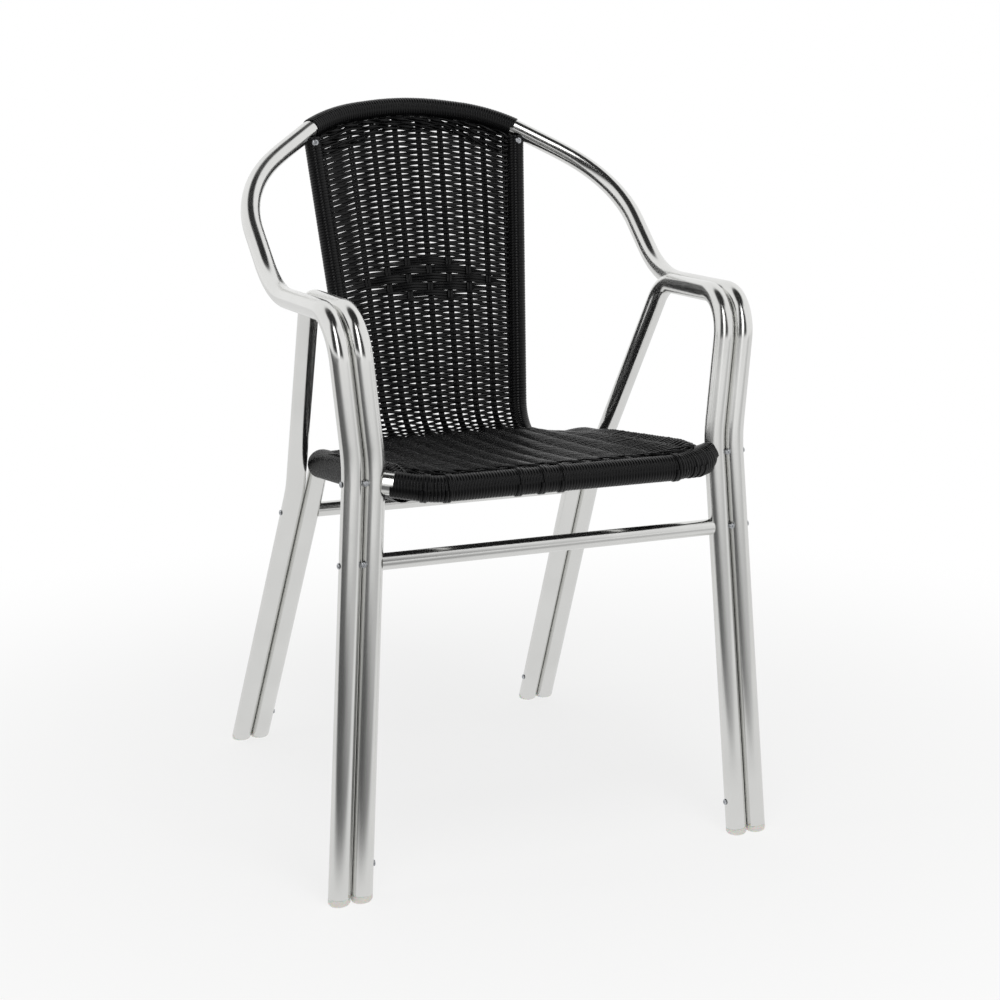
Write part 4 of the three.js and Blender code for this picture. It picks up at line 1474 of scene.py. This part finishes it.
@dataclass(frozen=True)
class WovenPanels(StrandWork):
    """The seat and the back, woven from the strand, in millimetres."""

    rows: int = 90
    columns_per_space: int = 2
    search_steps_per_row: int = 4
    bar_lift: float = 13.2
    weave_seed: float = 3.0
    no_motif: float = -1000.0
    back_stake_shares: tuple[float, ...] = (-0.915, -0.65, -0.42, -0.20, 0.03, 0.25, 0.47, 0.69, 0.915)
    back_lean_share: float = 0.06
    edge_stake_share: float = 0.9
    back_top_clearance: float = 3.0
    back_foot_share: float = 0.28
    back_bow: float = 8.0
    back_bow_share: float = 0.25
    back_motif_course: float = 57.0
    hoop_search_drop: float = 60.0
    hoop_aim_row: int = 8
    hoop_sink: float = 2.0
    stretch_share: float = 0.3
    crown_shares: tuple[float, ...] = (0.0, 0.5, 1.0)
    crown_first_row: float = 1.3
    crown_spread_rows: float = 2.0
    crown_corner_rows: float = 2.7
    crown_corner_share: float = 0.65
    crown_end_row: int = 6
    crown_lift: float = 1.6
    seat_spaces: int = 14
    seat_inner_spaces: int = 4
    seat_edge: tuple[tuple[float, float, float], ...] = (
        (0.0, 0.0, 0.0), (0.45, 0.0, 15.0), (1.0, -8.0, 17.5), (1.0, 4.0, 14.0))
    seat_sag: float = 5.0
    seat_front_inset: float = 3.0
    seat_corner_reach: float = 9.0
    seat_front_rise: float = 3.0
    seat_front_dip: float = 8.0
    seat_front_share: float = 0.12
    seat_rear_dip: float = 12.0
    seat_rear_share: float = 0.4
    seat_border_lift: float = 0.9

    @staticmethod
    def evenly(points: Sequence[Vector], count: int) -> list[Vector]:
        """Gives points at even lengths along a line.

        Args:
            points: the line.
            count: how many spaces the result has.

        Returns:
            One point more than there are spaces.
        """
        lengths = run_lengths(points)
        result, i = [], 1
        for k in range(count + 1):
            wanted = lengths[-1] * k / count
            while i < len(points) - 1 and lengths[i] < wanted:
                i += 1
            share = (wanted - lengths[i - 1]) / (lengths[i] - lengths[i - 1])
            result.append(points[i - 1].lerp(points[i], share))
        return result

    def surface(self, name: str, stakes: Sequence[Sequence[Vector]]) -> Object:
        """Makes the surface through the lines of the stakes, with its map.

        Args:
            name: the surface's name.
            stakes: evenly spaced points of each stake's line, from left to right.

        Returns:
            The surface.
        """
        columns = []
        for a, b in zip(stakes, stakes[1:]):
            for k in range(self.columns_per_space):
                columns.append([p.lerp(q, k / self.columns_per_space) for p, q in zip(a, b)])
        columns.append(list(stakes[-1]))
        rows = len(columns[0])
        faces = []
        for c in range(len(columns) - 1):
            for a in range(c * rows, (c + 1) * rows - 1):
                faces.append([a, a + rows, a + rows + 1, a + 1])
        made = new_object(name, [p for column in columns for p in column], faces)
        layer = made.data.uv_layers.new(name=SURFACE_MAP)
        for loop, spot in zip(made.data.loops, layer.data):
            c, r = divmod(loop.vertex_index, rows)
            spot.uv = (c / (len(columns) - 1), r / (rows - 1))
        made.data.shade_smooth()
        return made

    def back_stake(self, base: Sequence[Vector], foot_share: float) -> list[Vector]:
        """Gives the line of one of the back's stakes, from the bars to the hoop.

        Args:
            base: places along the right upright.
            foot_share: how far out the stake's foot stands, with 1 at the right upright.

        Returns:
            The stake's line.
        """
        lines = self.lines
        lean = self.back_lean_share * (1 - foot_share ** 2) * (abs(foot_share) < self.edge_stake_share)
        column = []
        for i, point in enumerate(base):
            tangent = (base[min(i + 1, self.rows)] - base[max(i - 1, 0)]).normalized()
            facing = Vector((0, -tangent.z, tangent.y)).normalized()
            level = i / self.rows
            share = foot_share + lean * level
            rise = self.bar_lift * max(0.0, 1 - level / self.back_foot_share) ** 2
            bow = self.back_bow * (1 - share * share) * min(1.0, level / self.back_bow_share)
            lifted = point + facing * (rise - bow) * MM
            column.append(Vector((point.x * share, lifted.y, lifted.z)))
        top, hoop = column[-1], lines.hoop()
        lowest = top.z - self.hoop_search_drop * MM
        across = hoop.at(hoop.length_where(lambda p: p.x > top.x and p.z > lowest))
        inward = (column[-self.hoop_aim_row] - across).normalized()
        stretch = across + inward * (lines.tube_r - self.hoop_sink) * MM - top
        shares = [i / self.rows - self.stretch_share for i in range(self.rows + 1)]
        column = [p + stretch * max(0.0, s / (1 - self.stretch_share)) for p, s in zip(column, shares)]
        return self.evenly(column, self.rows)

    def back_stakes(self) -> list[list[Vector]]:
        """Gives the lines of the back's stakes and of the two uprights beside them."""
        uprights = {side: self.lines.upright(side) for side in Side}
        right = uprights[Side.RIGHT]
        bend, reach = right.lengths[1], right.total - self.back_top_clearance * MM
        base = self.evenly(right.part(bend, reach), self.rows)
        stakes = [self.back_stake(base, share) for share in self.back_stake_shares]
        left, right = (self.beside(stake, uprights[side].part(bend, reach))
                       for stake, side in ((stakes[0], Side.LEFT), (stakes[-1], Side.RIGHT)))
        return [left, *stakes, right]

    def beside(self, stake: Sequence[Vector], line: Sequence[Vector]) -> list[Vector]:
        """Gives the places on a line that lie level with a stake's places."""
        fine = self.evenly(line, self.search_steps_per_row * self.rows)
        return [min(fine, key=lambda q: (q.yz - p.yz).length) for p in stake]

    def seat_stake(self, number: float) -> list[Vector]:
        """Gives the line of one of the seat's stakes, from its front edge to the back's foot.

        Args:
            number: how many stakes it stands to the right of the middle one.

        Returns:
            The stake's line.
        """
        lines = self.lines
        rail, heel = lines.rail_corner(Side.RIGHT).point, lines.upright_heel
        front, rear_y = lines.side_rail_front(Side.RIGHT), self.heel_start()
        bar_half, rail_half = heel.x, lines.side_rail_half_width
        inner = min(abs(number), self.seat_inner_spaces)
        beyond, out, up = self.seat_edge[int(abs(number) - inner)]
        half = bar_half * inner / self.seat_inner_spaces + (rail_half - bar_half) * beyond + out
        ahead = max(0.0, half - lines.rail_bow_half_width) / (rail_half - lines.rail_bow_half_width)
        front_y = (rail.y + (front.y - rail.y) * ahead + lines.tube_r - self.seat_front_inset
                   - self.seat_corner_reach * beyond)
        column = []
        for i in range(self.rows + 1):
            level = i / self.rows
            y = front_y + (rear_y - front_y) * level
            bar = rail.z + (heel.z - rail.z) * (y - rail.y) / (heel.y - rail.y) + self.bar_lift
            side_share = (y - front.y) / (lines.rear_rail_setback - front.y)
            side_rail = front.z + (lines.rear_corner_height - front.z) * side_share
            into = max(0.0, y - lines.rear_rail_setback + lines.rear_corner_r)
            inset = lines.rear_corner_r - math.sqrt(lines.rear_corner_r ** 2 - into ** 2)
            sag = self.seat_sag * math.sin(math.pi * level) * (1 - min(1.0, half / bar_half) ** 2)
            at_rear = max(0.0, 1 - (1 - level) / self.seat_rear_share)
            at_front = max(0.0, 1 - level / self.seat_front_share)
            dip = self.seat_rear_dip * at_rear ** 2 + self.seat_front_dip * at_front ** 2
            edge = side_rail + up + self.seat_front_rise * (1 - level) - dip
            x = math.copysign(half - inset * beyond, number)
            column.append(place((x, y, bar + (edge - bar) * beyond - sag)))
        return self.evenly(column, self.rows)

    def seat_stakes(self) -> list[list[Vector]]:
        """Gives the lines of the seat's stakes and of the two side rails beside them."""
        return [self.seat_stake(k - self.seat_spaces / 2) for k in range(self.seat_spaces + 1)]

    def heel_start(self) -> float:
        """Gives the setback at which the uprights start to turn up, in millimetres."""
        return self.lines.upright(Side.RIGHT).points[1].y / MM + FOOTPRINT_MIDDLE

    def weave(self, node: str, stakes: Sequence[Sequence[Vector]], swing: float, motif: float,
              borders: Sequence[Object]) -> None:
        """Weaves one panel in its CAD node's place.

        Args:
            node: the CAD node.
            stakes: the lines of the stakes.
            swing: how far the weavers stand out over a stake, in millimetres.
            motif: the course at which the pattern starts, or a negative number for none.
            borders: strands that close the panel's edge.
        """
        sizes = self.sizes
        length = run_lengths(stakes[len(stakes) // 2])[-1]
        strand = {"Spaces": len(stakes) - 1, "Width": sizes.width * MM, "Thickness": sizes.thickness * MM,
                  "Material": self.material}
        weavers = settled(self.surface(f"{node}_map", stakes), self.trees.weave, {
            "Courses": round(length / (sizes.course_pitch * MM)), "Steps": sizes.course_steps,
            "Swing": swing * MM, "Edge Swing": sizes.edge_swing * MM, "Pairing": sizes.pairing_share,
            "Motif Course": motif, "Unevenness": sizes.unevenness, "Relief": sizes.relief * MM,
            "Seed": self.weave_seed, **strand,
        }, f"{node}_weavers")
        stands = settled(self.surface(f"{node}_map", stakes), self.trees.stakes, {
            "Steps": self.rows, "Twin Gap": sizes.width * MM * sizes.twin_gap_share, **strand,
        }, f"{node}_stakes")
        made = joined([weavers, stands, *borders], f"{node}_strands")
        finish_piece(made, self.material, [node])

    def twisted(self, name: str, line: Sequence[Vector]) -> list[Object]:
        """Twists two strands together along a line.

        Args:
            name: the name of the border.
            line: the line.

        Returns:
            The two strands.
        """
        sizes = self.sizes
        line = self.evenly(line, self.rows)
        turns = run_lengths(line)[-1] / (sizes.twist_pitch * MM)
        return [self.along(f"{name}_{twin}", line, {
            "Turns": turns, "Steps": sizes.twist_steps, "Phase": twin / 2,
            "Looseness": sizes.twist_looseness * MM, "Seed": twin + 1.0, "Radius": sizes.twist_r * MM,
            "Width": sizes.width * MM, "Thickness": sizes.thickness * MM,
        }) for twin in range(2)]

    def crown_line(self, stakes: Sequence[Sequence[Vector]], depth_share: float) -> list[Vector]:
        """Gives a line across the back's top, which hangs lower towards the uprights.

        Args:
            stakes: the lines of the back's stakes.
            depth_share: how low it hangs, with 0 right under the hoop.

        Returns:
            The line from left to right.
        """
        ahead = Vector((0, -self.sizes.thickness * self.crown_lift * MM, 0))
        line = []
        for share, stake in zip(self.back_stake_shares, stakes[1:-1]):
            corner = min(1.0, abs(share) / self.crown_corner_share) ** 3
            lower = self.crown_spread_rows + self.crown_corner_rows * corner
            row = self.crown_first_row + depth_share * lower
            whole = int(row)
            line.append(stake[-1 - whole].lerp(stake[-2 - whole], row - whole) + ahead)
        return [stakes[0][-self.crown_end_row], *line, stakes[-1][-self.crown_end_row]]

    def build(self) -> None:
        """Makes both panels, each with twisted borders at its free edge."""
        sizes = self.sizes
        back = self.back_stakes()
        borders = []
        for k, depth_share in enumerate(self.crown_shares):
            borders += self.twisted(f"crown_border_{k}", self.crown_line(back, depth_share))
        self.weave("back_woven_panel", back, sizes.swing, self.back_motif_course, borders)
        seat = self.seat_stakes()
        above = Vector((0, 0, sizes.thickness * self.seat_border_lift * MM))
        border = self.twisted("front_border", [stake[1] + above for stake in seat[1:-1]])
        self.weave("seat_woven_panel", seat, sizes.seat_swing, self.no_motif, border)


@dataclass(frozen=True)
class SoftBox:
    """A lamp: metres towards the camera, to the right and up, its size, and how bright its face is."""

    name: str
    place_m: tuple[float, float, float]
    size_m: tuple[float, float]
    glow: float


@dataclass(frozen=True)
class Studio:
    """The floor, the light and the camera of the photograph.

    The chair stands on white paper that ends a little in front of it. Past that the room is
    dark, and the bright tubes show it as their dark streaks.
    """

    camera_place: tuple[float, float, float] = (-876.35, -2090.16, 900.63)
    heading_degrees: float = 24.93
    focal_px: float = 1942.9
    optical_centre_px: tuple[float, float] = (631.2, 92.4)
    image_px: float = 1000.0
    sensor_mm: float = 36.0
    clip_end_m: float = 100.0
    floor_half_m: float = 14.0
    paper: str = "#f4f4f3"
    white: str = "#ffffff"
    paper_fade: Ramp = Ramp(0.3, 1.5, 0.74, 1.0)
    paper_level: float = 0.80
    paper_front: Ramp = Ramp(0.42, 0.74)
    room: Ramp = Ramp(-0.5, 1.3, 0.10, 0.58)
    far_front: Ramp = Ramp(1.7, 3.4)
    far_room: Ramp = Ramp(-1.7, -0.1, 0.22, 0.92)
    ambient_level: float = 0.5
    strip_place: float = 0.05
    strip_glow: float = 3.5
    level_least: float = 0.05
    mirrored_levels: Ramp = Ramp(0.0, 1.0, 0.025, 0.95)
    aim_height_m: float = 0.55
    lamps: tuple[SoftBox, ...] = (
        SoftBox("key_soft_box", (1.7, 1.0, 1.75), (0.9, 0.7), 3.0),
        SoftBox("left_strip_box", (0.9, -2.0, 1.0), (0.7, 0.9), 2.0),
        SoftBox("top_soft_box", (1.2, 0.2, 2.8), (1.2, 1.2), 3.5),
    )

    @property
    def to_camera(self) -> Vector:
        """The level direction from the chair to the camera."""
        turn = math.radians(self.heading_degrees)
        return Vector((-math.sin(turn), -math.cos(turn), 0.0))

    @property
    def to_right(self) -> Vector:
        """The level direction to the right of the photograph."""
        turn = math.radians(self.heading_degrees)
        return Vector((math.cos(turn), -math.sin(turn), 0.0))

    def camera(self) -> None:
        """Makes the camera at the photograph's place, level, with its view shifted."""
        data = bpy.data.cameras.new("photo_camera")
        data.sensor_width = self.sensor_mm
        data.lens = self.focal_px / self.image_px * self.sensor_mm
        centre_u, centre_v = self.optical_centre_px
        data.shift_x = (self.image_px / 2 - centre_u) / self.image_px
        data.shift_y = (centre_v - self.image_px / 2) / self.image_px
        data.clip_end = self.clip_end_m
        camera = bpy.data.objects.new("photo_camera", data)
        camera.location = place(self.camera_place)
        camera.rotation_euler = (math.pi / 2, 0.0, -math.radians(self.heading_degrees))
        bpy.context.scene.collection.objects.link(camera)
        bpy.context.scene.camera = camera

    def paper_material(self) -> Material:
        """Makes the paper's finish, which fades to white and shows the metal where the paper ends."""
        material = bpy.data.materials.new("white_paper")
        material.use_nodes = True
        tree = material.node_tree
        tree.nodes.clear()
        where = object_place(tree)
        toward = vector(tree, "DOT_PRODUCT", where, tuple(self.to_camera))
        right = vector(tree, "DOT_PRODUCT", where, tuple(self.to_right))
        matt = add_node(tree, "ShaderNodeBsdfDiffuse", {"Color": linear(self.paper)}).outputs[0]
        inputs = {"Color": linear(self.white), "Strength": 1.0}
        glow = add_node(tree, "ShaderNodeEmission", inputs).outputs[0]
        fade = self.paper_fade.add(tree, vector(tree, "LENGTH", where))
        seen = add_node(tree, "ShaderNodeMixShader", {0: fade, 1: matt, 2: glow}).outputs[0]
        inputs = {"Factor": self.paper_front.add(tree, toward), "A": self.paper_level,
                  "B": self.room.add(tree, right)}
        near = add_node(tree, "ShaderNodeMix", inputs).outputs[0]
        inputs = {"Factor": self.far_front.add(tree, toward), "A": near, "B": self.far_room.add(tree, right)}
        level = add_node(tree, "ShaderNodeMix", inputs).outputs[0]
        mirrored = add_node(tree, "ShaderNodeEmission", {"Strength": level}).outputs[0]
        glossy = add_node(tree, "ShaderNodeLightPath").outputs["Is Glossy Ray"]
        shown = add_node(tree, "ShaderNodeMixShader", {0: glossy, 1: seen, 2: mirrored}).outputs[0]
        add_node(tree, "ShaderNodeOutputMaterial", {"Surface": shown})
        return material

    def floor(self) -> None:
        """Makes the paper, which keeps a faint shadow."""
        half = self.floor_half_m
        corners = [Vector((x * half, y * half, 0.0)) for x, y in ((-1, -1), (1, -1), (1, 1), (-1, 1))]
        made = new_object("studio_floor", corners, [(0, 1, 2, 3)])
        made.data.materials.append(self.paper_material())

    def mirrored_light(self, tree: NodeTree) -> Socket:
        """Adds how bright the surroundings look to the metal.

        They are white behind the chair and at its sides, with a bright strip ahead and a light low
        ahead. The rest is dark, overhead too.

        Args:
            tree: the world's tree.

        Returns:
            The brightness in each direction.
        """
        direction = add_node(tree, "ShaderNodeTexCoord").outputs["Generated"]
        ways = {"height": Vector((0, 0, 1)), "toward": self.to_camera, "right": self.to_right}
        known = {name: vector(tree, "DOT_PRODUCT", direction, tuple(way)) for name, way in ways.items()}
        sums(tree, known, [
            ("toward_2", "MULTIPLY", "toward", "toward"), ("right_2", "MULTIPLY", "right", "right"),
            ("level_2", "ADD", "toward_2", "right_2"), ("level", "SQRT", "level_2"),
            ("level_on", "MAXIMUM", "level", self.level_least), ("turned", "DIVIDE", "right", "level_on"),
            ("turned_size", "ABSOLUTE", "turned"), ("off_strip", "SUBTRACT", "turned", self.strip_place),
            ("off_strip_size", "ABSOLUTE", "off_strip"),
        ])
        for name, measure, ramp in (
            ("behind", "toward", Ramp(-0.35, 0.15, 1.0, 0.0)),
            ("sides", "turned_size", Ramp(0.60, 0.82, 0.0, 0.9)),
            ("strip", "off_strip_size", Ramp(0.10, 0.24, 1.0, 0.0)),
            ("below_cap", "height", Ramp(0.84, 0.94, 1.0, 0.0)), ("facing", "toward", Ramp(0.1, 0.5)),
            ("low_ahead", "height", Ramp(0.02, 0.16, 0.9, 0.0)),
        ):
            known[name] = ramp.add(tree, known[measure])
        sums(tree, known, [
            ("round", "MAXIMUM", "behind", "sides"), ("open", "MAXIMUM", "round", "strip"),
            ("walls", "MULTIPLY", "open", "below_cap"), ("ahead", "MULTIPLY", "facing", "low_ahead"),
            ("lit", "MAXIMUM", "walls", "ahead"), ("turned_away", "SUBTRACT", 1.0, "behind"),
            ("lamp", "MULTIPLY", "strip", "below_cap"), ("lamp_ahead", "MULTIPLY", "lamp", "turned_away"),
            ("lamp_above", "MULTIPLY", "lamp_ahead", "height"),
            ("glow", "MULTIPLY", "lamp_above", self.strip_glow),
            ("bright", "MAXIMUM", "glow", 0.0),
        ])
        known["walls_level"] = self.mirrored_levels.add(tree, known["lit"])
        sums(tree, known, [("mirrored", "ADD", "walls_level", "bright")])
        return known["mirrored"]

    def world(self) -> None:
        """Makes the surroundings: white to the eye, dimmer as plain light, and their own to the metal."""
        world = bpy.data.worlds.new("studio")
        bpy.context.scene.world = world
        world.use_nodes = True
        tree = world.node_tree
        tree.nodes.clear()
        path = add_node(tree, "ShaderNodeLightPath").outputs
        known = {"camera": path["Is Camera Ray"], "through": path["Is Transmission Ray"]}
        sums(tree, known, [("shown", "MAXIMUM", "camera", "through")])
        inputs = {"Factor": path["Is Glossy Ray"], "A": self.ambient_level, "B": self.mirrored_light(tree)}
        light = add_node(tree, "ShaderNodeMix", inputs).outputs[0]
        level = add_node(tree, "ShaderNodeMix", {"Factor": known["shown"], "A": light, "B": 1.0}).outputs[0]
        inputs = {"Color": linear(self.white), "Strength": level}
        surface = add_node(tree, "ShaderNodeBackground", inputs).outputs[0]
        add_node(tree, "ShaderNodeOutputWorld", {"Surface": surface})

    def lamp(self, box: SoftBox) -> None:
        """Makes a soft box that faces the chair and isn't mirrored in it.

        Args:
            box: its name, place, size and brightness.
        """
        data = bpy.data.lights.new(box.name, "AREA")
        data.shape = "RECTANGLE"
        data.size, data.size_y = box.size_m
        data.energy = box.glow * math.pi * box.size_m[0] * box.size_m[1]
        lamp = bpy.data.objects.new(box.name, data)
        toward, right, height = box.place_m
        lamp.location = self.to_camera * toward + self.to_right * right + Vector((0, 0, height))
        aim = Vector((0.0, 0.0, self.aim_height_m)) - lamp.location
        lamp.rotation_euler = aim.to_track_quat("-Z", "Y").to_euler()
        lamp.visible_glossy = False
        bpy.context.scene.collection.objects.link(lamp)

    def build(self) -> None:
        """Makes the whole studio."""
        self.camera()
        self.floor()
        self.world()
        for box in self.lamps:
            self.lamp(box)
        bpy.context.scene.view_settings.view_transform = "Standard"


def main() -> None:
    """Builds the chair and its studio."""
    logging.basicConfig(level=logging.INFO, format="%(name)s: %(message)s")
    Studio().build()
    lines = FrameLines()
    strand = ExtrudedStrand().build()
    TubeFrame(lines, PolishedAluminium().build()).build()
    FootPlugs(lines, MilkyPolypropylene().build()).build()
    Fasteners(lines, PlatedSteel().build()).build()
    work = (lines, StrandSizes(), StrandTrees(), strand)
    Windings(*work).build()
    WovenPanels(*work).build()


if __name__ == "__main__":
    main()
